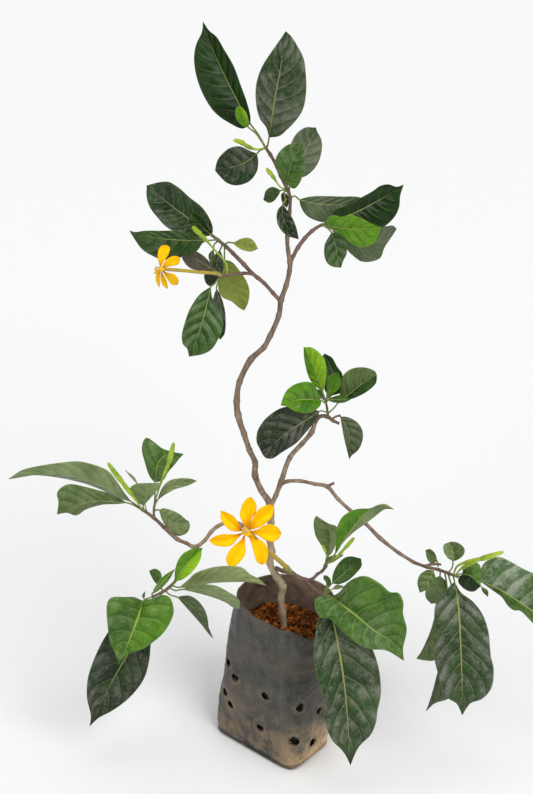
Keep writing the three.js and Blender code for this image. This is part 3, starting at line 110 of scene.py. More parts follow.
# The woody part.
TRUNK = [
    [285, 661, 0, 7.6], [285, 645, 0, 7.6], [284, 629, 0, 7.4], [282.5, 612, 0, 7.2], [281, 598, 1, 7],
    [282.5, 586, 0, 8], [277, 577, 0, 7.4], [270, 563, 1, 7], [272, 552, 2, 6.8], [270, 541, 2, 6.6],
    [271, 522, 0, 6.6], [270, 504, 0, 7], [261, 490, -2, 5.6], [255, 475, -3, 6.2], [255, 462, -4, 5.4],
    [249.5, 450, -4, 5.4], [244, 434, -3, 5.4], [238, 415, -2, 6.2], [236.8, 401, -1, 6], [239.5, 382, 1, 5.2],
    [251, 359.5, 3, 5.8], [264, 347, 4, 5], [270, 336, 4, 5], [279, 315, 2, 4.8], [281, 300, 1, 5.2],
    [286, 286, 1, 4.4], [289.5, 271, 1, 4.4], [290, 262, 1, 4.8], [288, 250, 1, 3.8], [287.3, 238, 1, 3.8],
    [289.7, 212, 0, 3.6],
]
BRANCHES = {
    "right_stem": [
        [271, 506, 0, 5.2], [276, 495, 4, 4.8], [281, 482, 8, 5.4], [290, 457.4, 14, 4.8],
        [302.6, 443, 19, 4.6], [311.7, 432, 22, 5.2], [314.8, 423, 24, 4.4],
    ],
    "far_right": [
        [280, 485, 8, 4.2], [287, 481.5, 4, 3.8], [300, 481, 0, 3.6], [315, 484, -4, 3.6],
        [327, 486.5, -8, 4.2], [338, 499, -11, 3.6], [351, 511, -15, 3.6], [365, 523, -19, 3.6],
        [380, 538, -24, 4.2], [399, 553, -30, 3.4], [415, 563, -35, 3.6],
    ],
    "low_left": [
        [270, 562, 1, 4.4], [262, 550, 2, 4], [254, 537, 1, 4], [241, 525, -2, 4.4], [229, 522, -6, 4],
        [218, 526, -10, 4], [211, 532, -13, 4], [205, 540, -15, 3.8], [195, 547, -18, 4.6],
        [186, 543, -20, 3.6], [177, 539, -22, 4], [165, 528, -25, 4.2],
    ],
    "low_left_twig": [[194, 547, -18, 3.6], [189, 558, -28, 3.2], [182, 570, -38, 3.2]],
    "rim_branch": [
        [276, 568, 0, 4.4], [283, 571, -6, 4.2], [291, 572.5, -12, 5], [298, 577, -18, 4.4],
        [307, 580.5, -26, 4.6],
    ],
    "rim_twig_up": [[306, 580, -25, 3.4], [312, 579, -28, 3.2], [318, 573.5, -31, 3.4]],
    "rim_twig_down": [[306, 580, -26, 3], [312, 586.5, -34, 2.8], [317, 590.5, -42, 2.8]],
    "upper_left": [
        [281, 302, 1, 4], [273, 293, 0, 3.6], [264, 283, -2, 3.4], [258, 278, -4, 4], [251.8, 273, -5, 3.6],
        [244, 264.5, -7, 4], [233, 253.3, -9, 3.6], [226, 246.5, -10, 3.6],
    ],
    "small_bloom_twig": [[252, 274, -5, 3], [244.4, 273.2, -9, 3], [234, 274, -13, 3], [228, 275, -16, 3.2]],
    "upper_right": [
        [290, 264, 1, 3.8], [293.5, 256, 3, 3.6], [298, 247.5, 5, 4], [305, 238, 7, 3.8], [312, 231, 9, 3.8],
        [317, 227.5, 9.5, 3.2],
    ],
    "stub": [[327, 486.5, -8, 3], [334, 483, -9, 2.6]],
}

# Leafy twig ends. Each has its own twigs and the leaves that they bear.
SPRAYS = {
  "crown_spray": spray(
    [[[285, 184.3, -1, 3], [280.5, 176, -1, 3], [277, 167, -2, 3], [270, 154, -4, 3.2], [265, 147, -6, 3]]],
    tall_back=blade(
      "dark", [[265.5, 147.5, -5], [258, 134, -4]],
      [[250.4, 124, -2], [239.5, 104.5, 6], [219, 63.3, 24], [209, 40, 36], [203, 21.5, 46]],
      [[243, 128.7], [229.8, 123.3], [215.3, 113], [204.4, 97.2], [196.5, 76.6], [194, 58.5], [196, 45],
       [202, 31.8]],
      [[250.4, 116.6], [246.8, 102], [240.7, 85], [233.5, 65.7], [223.8, 48.8], [216.5, 36.7], [209.2, 30.6]],
      (-7, -10)),
    tall_front=blade(
      "sheen", [[267, 148, -5], [268.4, 142, -8]],
      [[269, 137.5, -10], [274.6, 99.6, -20], [280.7, 67, -26], [285.8, 31.2, -24]],
      [[266.2, 127.5], [260, 119], [256.5, 107], [255.6, 90], [257.7, 77.8], [262.5, 65.7], [271, 52.4],
       [279.5, 40.3]],
      [[279.5, 136], [288, 128.7], [294, 122.8], [302.5, 110.5], [306, 94.8], [306, 75.4], [303.7, 58.5],
       [297.7, 46.3], [291.6, 36.7]], (-7, -8)),
    round_low=blade(
      "deep", [[264, 148.5, -6], [260, 150.5, -9]], [[257, 153.6, -12], [242, 164, -28], [215, 170.5, -46]],
      [[250.4, 151], [239.5, 146.3], [229.8, 148], [221.3, 154.8], [217, 161.4]],
      [[258.3, 162.6], [256.5, 172.3], [249.2, 181.4], [237, 185.4], [227.4, 183.2], [219.5, 176]], (-5, -7)),
  ),
  "neck_spray": spray(
    [[[289.7, 212.6, 0, 3.4], [290, 198, 0, 3.4], [287.5, 189, -1, 3.8], [284.5, 183.5, -1, 3.2]]],
    grey_back=blade(
      "grey", [[288.5, 190, 1], [291, 185, 8]], [[294, 178, 12], [304, 155, 30], [315.8, 127.5, 52]],
      [[291, 165], [289.5, 152], [291.6, 142], [297.7, 132.4], [306, 127.3], [312, 127.4]],
      [[303.7, 177], [311, 172.3], [318.3, 162.6], [321.9, 149.3], [321.3, 139.6], [317, 131]]),
    small_left=blade(
      "green", [[287, 190, 1], [284, 190, 6]], [[280.4, 190.6, 9], [272, 195, 18], [263.3, 200, 26]],
      [[277.3, 188.4], [271.7, 187], [266, 190.4]], [[279.4, 193.5], [274.3, 200.6], [269.2, 202.9]]),
    narrow_front=blade(
      "deep", [[287.5, 191, -2]], [[284.2, 192, -6], [285.2, 200, -10], [287, 208, -12]],
      [[281.4, 194], [282.5, 203]], [[287.6, 196], [288.6, 203]], (2, 2)),
    drooping=blade(
      "deep", [[288.5, 193, -1], [286, 199, -9]],
      [[283, 204, -14], [282.5, 216, -21], [288, 228, -27], [298.8, 239.4, -32]],
      [[277.9, 209.8], [276.6, 216], [278.4, 226], [286.5, 235.3]],
      [[285.5, 207.8], [290.6, 214.9], [294.7, 223], [297.2, 231]]),
    level_right=blade(
      "grey", [[290, 197.5, 0], [294.7, 196, 2]],
      [[299.3, 199.6, 4], [316, 203.7, 16], [344.7, 204.7, 36], [368, 206, 50]],
      [[303.9, 198], [313, 196.3], [341.6, 196.5], [361, 197.8]],
      [[300.8, 206.7], [305.9, 214.9], [313, 219.5], [330, 223], [352, 219]], (3, -6)),
  ),
  "upper_right_spray": spray(
    [[[316.5, 227.6, 9.5, 3], [322, 225, 10, 3], [326, 224.5, 11, 2.6]]],
    dark_back=blade(
      "dark", [[322, 224.5, 10], [329, 221.5, 14]],
      [[335, 219.5, 16], [351.8, 213.9, 20], [372.2, 203.7, 30], [388.6, 194.5, 41], [403.7, 184.5, 54]],
      [[334.5, 211.5], [346, 205], [362, 197], [372.2, 191.4], [380.4, 185.8], [388.6, 184.3], [396.7, 186.8]],
      [[345, 224], [362, 230], [381.4, 228], [393.7, 218], [399, 207.8], [400.3, 195.5]]),
    glossy_low=blade(
      "green", [[323, 225, 10], [328.5, 229, 10]],
      [[331.6, 232.5, 10], [335.5, 245.5, 7], [337.6, 256.7, 4], [341, 267.7, 2]],
      [[328.6, 237], [324.6, 245], [324.8, 257.8], [328.4, 264.4], [333.5, 266.9]],
      [[339.6, 233.3], [344.7, 239.4], [346.7, 253.7], [343.7, 259.8]], (-4, -4)),
    olive_back=blade(
      "grey", [[324, 224.8, 11], [328, 227, 15]],
      [[331.5, 229, 20], [352, 239, 36], [374, 242, 48], [396.7, 228.7, 62]],
      [[350, 228], [372, 227], [387.6, 226], [392.7, 225.4]],
      [[340, 243], [346.7, 249.6], [351.8, 254.7], [361, 261.3], [371.2, 261.6], [380.4, 257.8], [384.5, 247.6],
       [392.7, 235.3]], (-4, -4)),
  ),
  "upper_left_spray": spray(
    [[[225.5, 246, -10, 3.2], [218, 240, -12, 3.2], [211.5, 235, -12, 2.8]]],
    grey_back=blade(
      "sheen", [], [[212, 235.5, -11], [187.2, 217.3, 5], [167.3, 202.3, 18], [146.7, 185.5, 34]],
      [[213, 228.5], [209.6, 218.5], [202, 207.3], [189.7, 197.4], [178.5, 187.4], [168.5, 181.8],
       [158, 182.4]], [[194.6, 237], [168.5, 228.5], [157.3, 217.3], [149.9, 207.3], [146.7, 197.4]], (-6, -4)),
    long_front=blade(
      "green", [[217, 239.5, -14]],
      [[211, 240.3, -19], [179.7, 239.7, -34], [157.3, 237.8, -43], [129.3, 230.7, -50]],
      [[194.6, 235.9], [182.2, 231], [161, 230.7], [144.9, 230.7], [133.7, 232.2]],
      [[203.3, 242.5], [197, 250.8], [182.2, 257], [162.3, 259.6], [152.3, 255.8], [142.4, 249.6],
       [134.9, 239.7]], (-5, 5)),
    small_upper=blade(
      "dark", [], [[211, 235, -14], [200, 224, -17], [191.5, 212.3, -16]],
      [[202, 233.4], [194.6, 227.2], [189, 222.2], [189.7, 216]],
      [[208.9, 229.7], [205.8, 222.2], [199.6, 215.4]], (-3, -3)),
    hanging_dark=blade(
      "deep", [[222, 243.5, -10], [221.5, 247, -5]], [[220, 250, -1], [216, 268, 3], [210.8, 287, 9]],
      [[214.5, 255], [206, 268], [204, 277], [206.5, 284]], [[223, 258], [223, 270], [218.3, 280]], (-3, -3)),
    olive_right=blade(
      "olive", [[224, 245, -9], [224.5, 252, -2]],
      [[224.5, 259.6, 3], [228.2, 274.5, 10], [236, 292, 15], [244.4, 310.5, 20]],
      [[232, 262], [240.6, 272], [246.9, 282], [249.6, 291.9], [248, 303]],
      [[219.5, 277], [218.3, 288], [222, 296.9], [232, 301.8], [239.4, 308]], (-4, -4)),
    sliver=blade(
      "mid", [[218, 241.5, -12], [214.5, 244, -13]], [[213.3, 249, -12], [210.8, 257, -11], [213.3, 266, -9]],
      [[208.6, 255], [209.6, 261]], [[214.5, 255], [214.5, 261]], (2, 2)),
  ),
  "left_hanging_spray": spray(
    [[[227.4, 275, -16.3, 2.8], [222, 276.3, -20, 3], [219, 277, -22, 2.6]]],
    plum_left=blade(
      "plum", [[220, 276.5, -21]], [[215.8, 271.4, -23], [200, 261, -22], [181.6, 252, -19]],
      [[209.6, 262], [202, 254.6], [193.4, 250.2], [185.9, 249.4]],
      [[204.6, 270.7], [193.4, 269.5], [187.2, 265.8], [182.2, 258.3]], (-2, 2)),
    large_green=blade(
      "green", [[219.5, 277, -21.5], [214.5, 284, -26]],
      [[211, 286.5, -29], [204.6, 313, -41], [198.4, 334.2, -46], [189, 356.6, -50]],
      [[199.6, 294.4], [189.7, 309.3], [184.7, 323], [181.8, 335.4], [182.8, 344], [187.2, 349]],
      [[212, 296.9], [218.3, 308], [222.6, 319.3], [222, 330.5], [217.6, 340.4], [212, 349], [203.3, 354]],
      (-6, -6)),
    dark_behind=blade(
      "deep", [[220, 277, -20], [218, 283, -17]],
      [[216.5, 288, -15], [220.5, 305, -12], [222, 322, -11], [220, 340, -13]],
      [[213, 300], [215, 320], [217, 333]], [[219.5, 293], [224.5, 308], [225.7, 324], [224.5, 334]], (2, -3)),
  ),
  "middle_spray": spray(
    [[[314.6, 423.6, 24, 4], [319.9, 416.5, 26, 4], [327, 416.6, 26, 4.2], [333, 420.7, 27, 3.4],
     [339, 423.4, 28, 3]], [[328, 416, 26, 2.6], [327, 408, 25, 2.2], [325.5, 400, 23, 2.4]],
     [[332, 419, 26, 2.2], [336, 416.5, 28, 2], [340, 415.5, 30, 2.4]]],
    large_low_left=blade(
      "deep", [[327, 414, 24], [324, 411.5, 18]],
      [[319.9, 411, 13], [300.5, 423.8, 2], [286.2, 433, -5], [262.5, 454.5, -14]],
      [[302, 407], [283, 407.4], [268.9, 415.6], [260.7, 424.8], [257, 433], [256.6, 442], [259.7, 448.8]],
      [[316.8, 418], [310.7, 426.8], [304.6, 434], [296.4, 443], [282, 452.3], [272, 458.6], [265.8, 458]]),
    dark_upright=blade(
      "dark", [[326.5, 402, 26]], [[331, 396, 32], [334, 377, 40], [324.5, 353.4, 50]],
      [[325.5, 392], [323, 375], [320.5, 360]],
      [[341.3, 392], [342.3, 383], [342.3, 373.8], [337.2, 366.6], [332, 357.6]], (-3, -3)),
    cupped=blade(
      "bright", [], [[326, 400, 21], [331.5, 386, 13], [338, 372, 9]],
      [[326.5, 391], [327, 381], [329.5, 375.5]], [[333, 394.2], [339.8, 387], [340.3, 378.9]], (-4, -4)),
    sheen_right=blade(
      "moss green", [[328.5, 413.5, 25], [334, 408, 25]],
      [[339, 402, 24], [348.5, 395, 22], [362, 384, 18], [377, 375.8, 14]],
      [[340.3, 388], [342.3, 376.8], [349.5, 369.7], [358.7, 367.3], [367.9, 368], [375.5, 371.7]],
      [[351.5, 399], [357.7, 396.7], [367.9, 391], [376, 383]], (-4, -4)),
    folded_right=blade(
      "mid", [], [[327, 400, 20], [338, 399.5, 11], [350.5, 399.8, 4]], [[334, 396.5], [344, 395]],
      [[334, 402.5], [343, 402.8]], (3, 3)),
    folded_left=blade(
      "mid", [], [[325, 401, 25], [320, 396, 25], [312.8, 389.6, 24]], [[322.5, 392.5], [316.8, 389]],
      [[321, 398.6], [315, 394.5]], (3, 3)),
    hanging_grey=blade(
      "grey", [], [[340.3, 416.5, 30], [349, 434, 33], [349.5, 447.2, 36], [349.3, 459.5, 40]],
      [[342.3, 428.9], [344.4, 440], [347, 450.3]],
      [[347.4, 417], [356.6, 421.7], [362.2, 429.9], [362.8, 439], [358.7, 449.3], [351.5, 455.9]], (-3, -3)),
  ),
  "far_left_spray": spray(
    [[[164.4, 527.6, -25, 3.8], [154, 518, -28, 3.4], [143, 510, -30, 3.2], [133, 504, -31, 2.6]],
     [[154, 517.5, -28, 2.6], [154, 509, -27, 2.4], [155.5, 499, -25, 2.4]]],
    long_left=blade(
      "silver mid", [[140, 508, -29]], [[131, 501.5, -27], [98, 484.5, -8], [56, 473.5, 12], [8.5, 479, 30]],
      [[124, 492], [117.6, 482.5], [109.8, 472], [100.7, 467], [90, 463.6], [78.4, 461.3], [57.5, 463],
       [35.3, 466.6], [22, 470]],
      [[120, 499], [98, 488.4], [78.4, 481.9], [56, 477.3], [35.3, 475.2], [17, 476]], (-6, 16)),
    wavy_left=blade(
      "moss", [[136, 506, -31]], [[127, 502.8, -34], [92, 501.5, -54], [57, 514.3, -72]],
      [[112, 494.5], [99.3, 490.4], [83.7, 486.4], [70.6, 484], [62.7, 486.4], [57, 493], [58.4, 502]],
      [[117.6, 504], [102, 504.8], [85, 510], [79.7, 513.9], [75, 515.5], [67, 512.8]], (-4, 10)),
    grey_upright=blade(
      "silver", [[145, 511, -30]], [[143.3, 506, -32], [147, 494, -38], [150, 483, -42]],
      [[134, 499], [129.4, 489], [136, 483.8]], [[150, 498.5], [158, 489], [160.5, 483.4]], (-3, -3)),
    curled_sliver=blade(
      "silver", [[147, 512, -28], [142, 495, -20]], [[138, 484.5, -16], [131.5, 478, -14], [125, 470, -12]],
      [[133.5, 478.6]], [[134.5, 477.5]], (4, 4), stalk_width=1.4),
    broad_upright=blade(
      "mid", [[155, 503, -25], [155, 492, -21]],
      [[155, 482.5, -17], [158.5, 463, -9], [167, 454.5, -7], [183.7, 454, -10]],
      [[150.5, 478], [145, 463], [141.8, 447], [146, 437.6], [154, 442], [160.8, 447.6], [172, 451.6]],
      [[163.4, 480], [168.6, 471.4], [174, 465.5], [179, 459]], (4, -5)),
    olive_right=blade(
      "silver", [[155.5, 506, -26]], [[157, 500.8, -29], [168, 487, -36], [182, 481.5, -40], [197, 481, -43]],
      [[162, 488], [168.6, 481], [178, 478.4], [190.8, 478.7]], [[164.7, 495], [175, 489.5], [189.5, 485]],
      (-3, -3)),
    low_right=blade(
      "silver", [[155, 511, -27]], [[159, 510, -24], [168, 519, -20], [178, 523, -15], [188.8, 521.2, -10]],
      [[163.4, 508.3], [172.5, 510.4], [180.4, 514.6], [186, 519.5]],
      [[160.8, 516.5], [164.7, 524.5], [173, 534], [179, 536], [187, 532.8], [190, 526.5]], (-3, -3)),
  ),
  "low_left_spray": spray(
    [[[181.6, 570.6, -38.4, 3], [176, 580, -45, 3], [169, 587.5, -50, 3.2], [161, 593, -53, 3],
     [152, 597, -56, 2.6]]],
    small_upper=blade(
      "mid", [[163, 591.5, -52]], [[159.7, 586, -50], [154.5, 578, -46], [149, 570.8, -42]],
      [[155.5, 583], [151.7, 577]], [[161.8, 578], [160.5, 572], [155, 568.7]], (-2, -2)),
    large_dark=blade(
      "deep", [[161, 594, -50]],
      [[158, 603, -44], [140, 634, -40], [122, 663.8, -42], [106, 693, -48], [89.6, 726.3, -56]],
      [[138, 608], [118, 620], [107.4, 633], [95.3, 656], [87.7, 679], [87, 698], [90.8, 716]],
      [[164, 618], [157, 632], [150.8, 644.7], [149.9, 656], [145, 676.6], [136, 690.6], [124.6, 702],
       [110.6, 711.7], [98.5, 718]], (-6, -6)),
    pale_upper_right=blade(
      "pale", [[172, 585.5, -48]], [[179, 587.4, -48], [207, 580, -42], [240, 579, -34], [267, 585.8, -27]],
      [[188.4, 579.6], [194.8, 573.5], [211.4, 567.5], [226.7, 566], [242, 567.5], [250, 574], [258.6, 578.6]],
      [[194.8, 588], [207.6, 583.8], [226.7, 582.2], [250.9, 582.4]], (-6, 14)),
    pale_lower_right=blade(
      "silver", [[170, 588, -50], [175, 590.5, -54]],
      [[182, 589.4, -57], [207, 590.5, -62], [226, 599, -64], [240, 609, -64]],
      [[192, 586], [207.6, 584.4], [217.8, 586.3], [229.2, 592.4], [236.5, 597], [239.8, 601.5]],
      [[191, 591.5], [207.6, 595.8], [225.4, 602.3], [233, 607.4]], (-4, 10)),
    hanging_narrow=blade(
      "grey", [[165, 591, -51], [170, 594.8, -50]],
      [[177, 597, -50], [193, 607, -48], [205, 621, -46], [213.3, 638.6, -46]],
      [[184, 595.6], [191, 596.2], [198.6, 601.3], [205, 610.3], [207.9, 620], [209, 630]],
      [[182, 602.6], [191, 612.8], [201.2, 624.3], [209.5, 635]], (-5, -2)),
    tiny_curl=blade(
      "mid", [[152, 597, -56]], [[143.8, 599, -55], [142.8, 595.5, -51], [144.8, 591.4, -47]], [[142, 596]],
      [[145, 595.6]], (2, 2), stalk_width=1.4),
  ),
  "rim_upper_spray": spray(
    [[[317.4, 574, -30.8, 3], [322, 571.2, -33, 3], [325.5, 566, -35, 3.8], [327.5, 557, -36, 3]]],
    grey_folded=blade(
      "moss silver", [], [[327.6, 557.5, -35], [330.8, 540, -30], [328, 526, -25], [316.3, 515.8, -21]],
      [[321, 545], [316, 536.8], [313.7, 526.3], [314.2, 519]],
      [[332.5, 552], [337, 540], [337.2, 527], [328.6, 523.4], [323.3, 520.4]], (-5, -3)),
    small_fold=blade(
      "mid", [], [[326.5, 562, -35], [334, 557.8, -33], [343.8, 555, -32]], [[329.5, 556.8], [337, 555]],
      [[331.5, 562.8], [338, 559]], (3, 2)),
  ),
  "rim_lower_spray": spray(
    [[[316.6, 590, -41.4, 2.6], [320.5, 592.5, -46, 3.6], [324, 594, -50, 4.6], [327.5, 596, -54, 3.4]]],
    glossy_upper=blade(
      "green", [[324.5, 593.5, -50], [328, 588.5, -49]],
      [[332, 583.5, -48], [342.6, 574.4, -44], [353, 564.5, -42], [361, 558.5, -42]],
      [[332.6, 575.4], [337.3, 564.9], [344.3, 557.9], [350.5, 556.3]],
      [[339, 584.2], [347.9, 580.6], [356.6, 572.8], [361.7, 565.7]], (-3, -3)),
    small_curl=blade(
      "mid", [[322.5, 592.5, -48]], [[325.5, 588.5, -44], [328.5, 582, -40], [323.4, 575.5, -36]],
      [[326, 582.5], [323.6, 579]], [[330.8, 584], [330.5, 579.5], [327, 575.6]], (-1, 2), stalk_width=1.4),
    silver_sliver=blade(
      "pale", [[325, 594, -51]], [[331.5, 589.5, -48], [338, 586.4, -40], [345, 586.6, -34]], [[337, 584.6]],
      [[338.5, 589.3]], (2, 2), stalk_width=1.4),
    large_hanging=blade(
      "sheen", [[327.5, 596, -54]],
      [[329.4, 604, -60], [335, 630, -77], [342, 668, -88], [346.5, 706, -93], [350.5, 765.3, -96]],
      [[319, 616], [315.4, 633], [313.7, 654.3], [315.4, 670], [321.6, 691], [325, 705], [324.3, 719],
       [332, 740], [340.8, 749], [346, 756]],
      [[347, 612], [362, 630], [374, 652.5], [379.4, 671.8], [380.8, 694.6], [377.6, 710.4], [376, 722.7],
       [370.6, 735], [360, 745.4], [354.9, 754.2]]),
  ),
  "far_right_spray": spray(
    [[[414.4, 562.6, -35, 3.2], [427, 567, -39, 3.4], [438, 569.5, -42, 3.2], [449, 573.5, -46, 3.4],
     [455, 576, -49, 2.6]], [[424, 565.8, -38.4, 2.2], [433, 564, -37.6, 2.8], [441, 564.5, -37, 2.2]]],
    small_left=blade(
      "moss", [[438, 566.5, -38]], [[437.4, 561.7, -37], [432.5, 555, -34], [425.4, 550.2, -32]],
      [[430, 562.5], [426.5, 557]], [[435.2, 553.8], [430, 549]], (-2, -2)),
    heart=blade(
      "silver moss", [[449, 572, -47], [452.3, 567.3, -48]],
      [[453, 561.4, -48], [453, 551, -42], [450, 541.8, -36]], [[447.3, 557.5], [443.6, 551], [443.6, 545]],
      [[458, 559.6], [463.5, 554.9], [464.7, 549.5], [461, 544.6], [455, 541.8]], (-3, -3)),
    curled_cup=blade(
      "mid dark", [[455, 575, -50]], [[462, 574, -53], [471, 576, -60], [480.5, 586.5, -62]],
      [[464.7, 565], [471, 561.8], [478.4, 563.4], [481.6, 571]], [[458, 581], [466, 590], [474, 591.5]],
      (4, 10)),
    wide_right=blade(
      "streaked mid", [[455, 576, -48], [467, 577, -40]],
      [[478, 580, -32], [499.5, 589.7, -26], [522, 604, -22], [552, 626, -22], [580, 650, -28]],
      [[484, 563], [498.3, 556.7], [510.7, 561.7], [523, 568.6], [538, 576], [556, 592], [570, 616],
       [577, 636]],
      [[492, 590], [502, 597.4], [508, 606], [514.5, 610.6], [519.4, 610.4], [529.4, 619.6], [544, 634],
       [562, 646]], (-6, -3)),
    little_hanging=blade(
      "mid", [[456, 577, -49], [470, 582, -48]], [[481, 586, -48], [485.5, 591, -49], [488, 597, -50]],
      [[482.5, 591.5]], [[488, 591]], (2, 2), stalk_width=1.4),
    large_hanging=blade(
      "sheen", [[453, 576, -49]],
      [[454.5, 581.5, -55], [458.5, 605, -70], [460.5, 640, -80], [462, 680, -84], [462.2, 715.3, -82]],
      [[446, 590], [436, 603.4], [434.2, 616], [436.7, 639.5], [433.6, 652], [438.6, 676.8], [442.3, 691.7],
       [448, 698.5], [456.5, 703.5]],
      [[461, 592.5], [472.2, 600.9], [482, 613.3], [488.3, 630.7], [491, 656.9], [493.6, 668], [491.4, 688],
       [482, 699], [470.9, 703], [466, 709]], (-5, -6)),
    oval_left=blade(
      "moss", [[434, 568.5, -41]], [[433.5, 570.5, -44], [428, 581, -50], [419.9, 592.8, -54]],
      [[427.4, 569.8], [419.9, 574.8], [417.4, 583]], [[435.8, 579.8], [428.6, 588.6]], (-2, -2)),
    pale_behind=blade(
      "silver", [[440, 570.5, -42]], [[440, 575.5, -40], [435, 590, -36], [431, 603.6, -33]],
      [[432, 580], [425.5, 591], [426, 598]], [[447, 583], [445, 597], [437.5, 603]], (-2, -2)),
    hidden_low=blade(
      "silver", [[444, 572, -44], [447, 586, -40]], [[447, 598, -37], [436, 630, -34], [416.4, 658.7, -32]],
      [[438, 608], [430, 632], [421, 652]], [[455, 615], [449, 642], [435, 660], [425, 660.5]], (-3, -3)),
    hidden_lowest=blade(
      "grey", [[448, 573.5, -45], [455, 600, -46]], [[456, 625, -47], [446, 670, -48], [425.9, 711.6, -52]],
      [[446, 640], [437.5, 672], [431.5, 695]], [[464, 655], [458, 690], [447.9, 699], [434.5, 703.5]], (-3, -3)),
  ),
}

# Young leaves and leaf buds, each seated on the twig end that bears it.
YOUNG_LEAVES = {
  "crown_young_leaf": ("crown_spray", blade(
    "bright lime", [[262.5, 143, -5], [255.5, 133, -11]],
    [[248.6, 127.5, -15], [242.5, 116, -19], [239.5, 105.5, -22]],
    [[243, 126.3], [237, 120], [235.2, 113], [236.6, 107.5]], [[248.2, 119], [245.6, 111.8]], (-3, -3))),
  "neck_young_leaf": ("neck_spray", blade(
    "mid", [[287.5, 189.5, -2]], [[286, 184, -7], [292.8, 160, -20], [303, 143.3, -30]],
    [[279.5, 174.7], [275.2, 163.8], [277, 155.4], [284.3, 146.9], [291.6, 143.6]],
    [[294, 188.7], [298.9, 184.4], [303.7, 172.3], [304.9, 163.8], [302.7, 153]])),
  "upper_right_young_leaf": ("upper_right_spray", blade(
    "bright", [[321, 225.4, 9]], [[324, 225, 4], [350.8, 229, -9], [381.4, 226.6, -24]],
    [[328.4, 216.8], [335.5, 215.4], [339.6, 217], [350.8, 214.9], [360, 218], [370.2, 223], [377, 226]],
    [[333, 229], [341.6, 235.3], [349.8, 242.4], [358, 247], [368.2, 246.5], [375.3, 241.4], [379.4, 232.5]])),
  "upper_left_young_leaf": ("upper_left_spray", blade(
    "olive", [[224.5, 245.5, -11], [227.5, 242.6, -15]],
    [[233.2, 242.8, -18], [244.4, 245.9, -24], [258, 248.6, -29]],
    [[241.9, 238.4], [249.4, 238], [254.3, 241.5]], [[235.7, 246], [243, 250.2], [251.8, 251.5]], (-3, -3))),
  "middle_young_leaf_up": ("middle_spray", blade(
    "bright lime", [[325.4, 401, 21.5]], [[323, 393, 15], [315.8, 371.7, 8], [303.6, 347.2, 2]],
    [[310.7, 380.9], [306.6, 370.7], [304, 357.4]],
    [[326, 380], [326.5, 370.7], [324.5, 359.5], [318.9, 352.3], [311.7, 347.4]], (-3, -4))),
  "middle_young_leaf_left": ("middle_spray", blade(
    "bright", [[326, 403.5, 20]], [[321, 400.5, 10], [300, 399.5, -8], [280.6, 405.4, -22]],
    [[313.8, 384], [306.6, 381.7], [294.4, 384.5], [286.2, 391], [282.7, 398.3]],
    [[320.6, 405], [314.8, 410.5], [305.6, 413.4], [294.4, 411], [286.2, 406.4]], (-4, -4))),
  "low_left_young_leaf_up": ("low_left_spray", blade(
    "bright lime", [[172, 586, -51]], [[174.4, 582, -56], [186, 565, -58], [202.4, 547.8, -54]],
    [[175, 570.7], [178, 560.5], [183.3, 553.5], [192, 549]], [[183.3, 579], [192, 572], [199.9, 560.5]],
    (-4, -4))),
  "low_left_young_leaf_folded": ("low_left_spray", blade(
    "bright", [], [[152, 594, -57], [161, 584, -64], [175, 568.8, -68]], [[154.5, 588], [163, 576.6]],
    [[158, 591], [169, 580]], (3, 4))),
  "low_left_front_leaf": ("low_left_spray", blade(
    "mid leafy", [[153.5, 599.5, -60]], [[143, 601, -68], [137, 620, -78], [127, 646, -84], [118.9, 665, -86]],
    [[134, 597], [124.6, 597], [111, 597.6], [107.2, 603], [108, 629.4], [110.6, 643.4], [115.7, 654]],
    [[151.4, 598.8], [164, 595], [170, 597.5], [173.8, 610.3], [171.8, 619], [164.2, 632], [151.4, 643.4],
     [141, 649.8], [127.2, 654]], (-6, -6))),
  "rim_young_leaf_up": ("rim_upper_spray", blade(
    "bright silver", [[326.5, 563, -39]],
    [[335, 554, -50], [350.5, 531, -56], [368, 511, -60], [384, 504, -64], [393.8, 509.2, -68]],
    [[336, 540], [336.8, 528], [342.6, 516.7], [351.4, 510.9], [360, 508.6], [370, 508.5], [379, 505]],
    [[342.6, 543.4], [353, 532.8], [365.4, 523.8], [375, 516.5], [384.7, 509.4]], (-4, 8))),
  "rim_front_leaf": ("rim_lower_spray", blade(
    "mid", [[325.5, 595.5, -55]],
    [[331, 596.6, -64], [354.9, 614.8, -84], [374, 630.6, -98], [393.4, 643, -108], [404, 660.8, -112]],
    [[322, 595], [315, 600], [316.3, 612], [321.6, 618], [327.7, 617.8], [335.6, 623.6], [347.9, 635.9],
     [360, 645.5], [372, 649.4], [386, 650.4]],
    [[339, 592.5], [346, 584], [354.9, 578], [365.4, 576], [381, 584], [390, 592], [398.7, 592.9], [403.4, 602],
     [403, 613], [406.8, 629.7], [403, 649]], (-4, -6))),
}
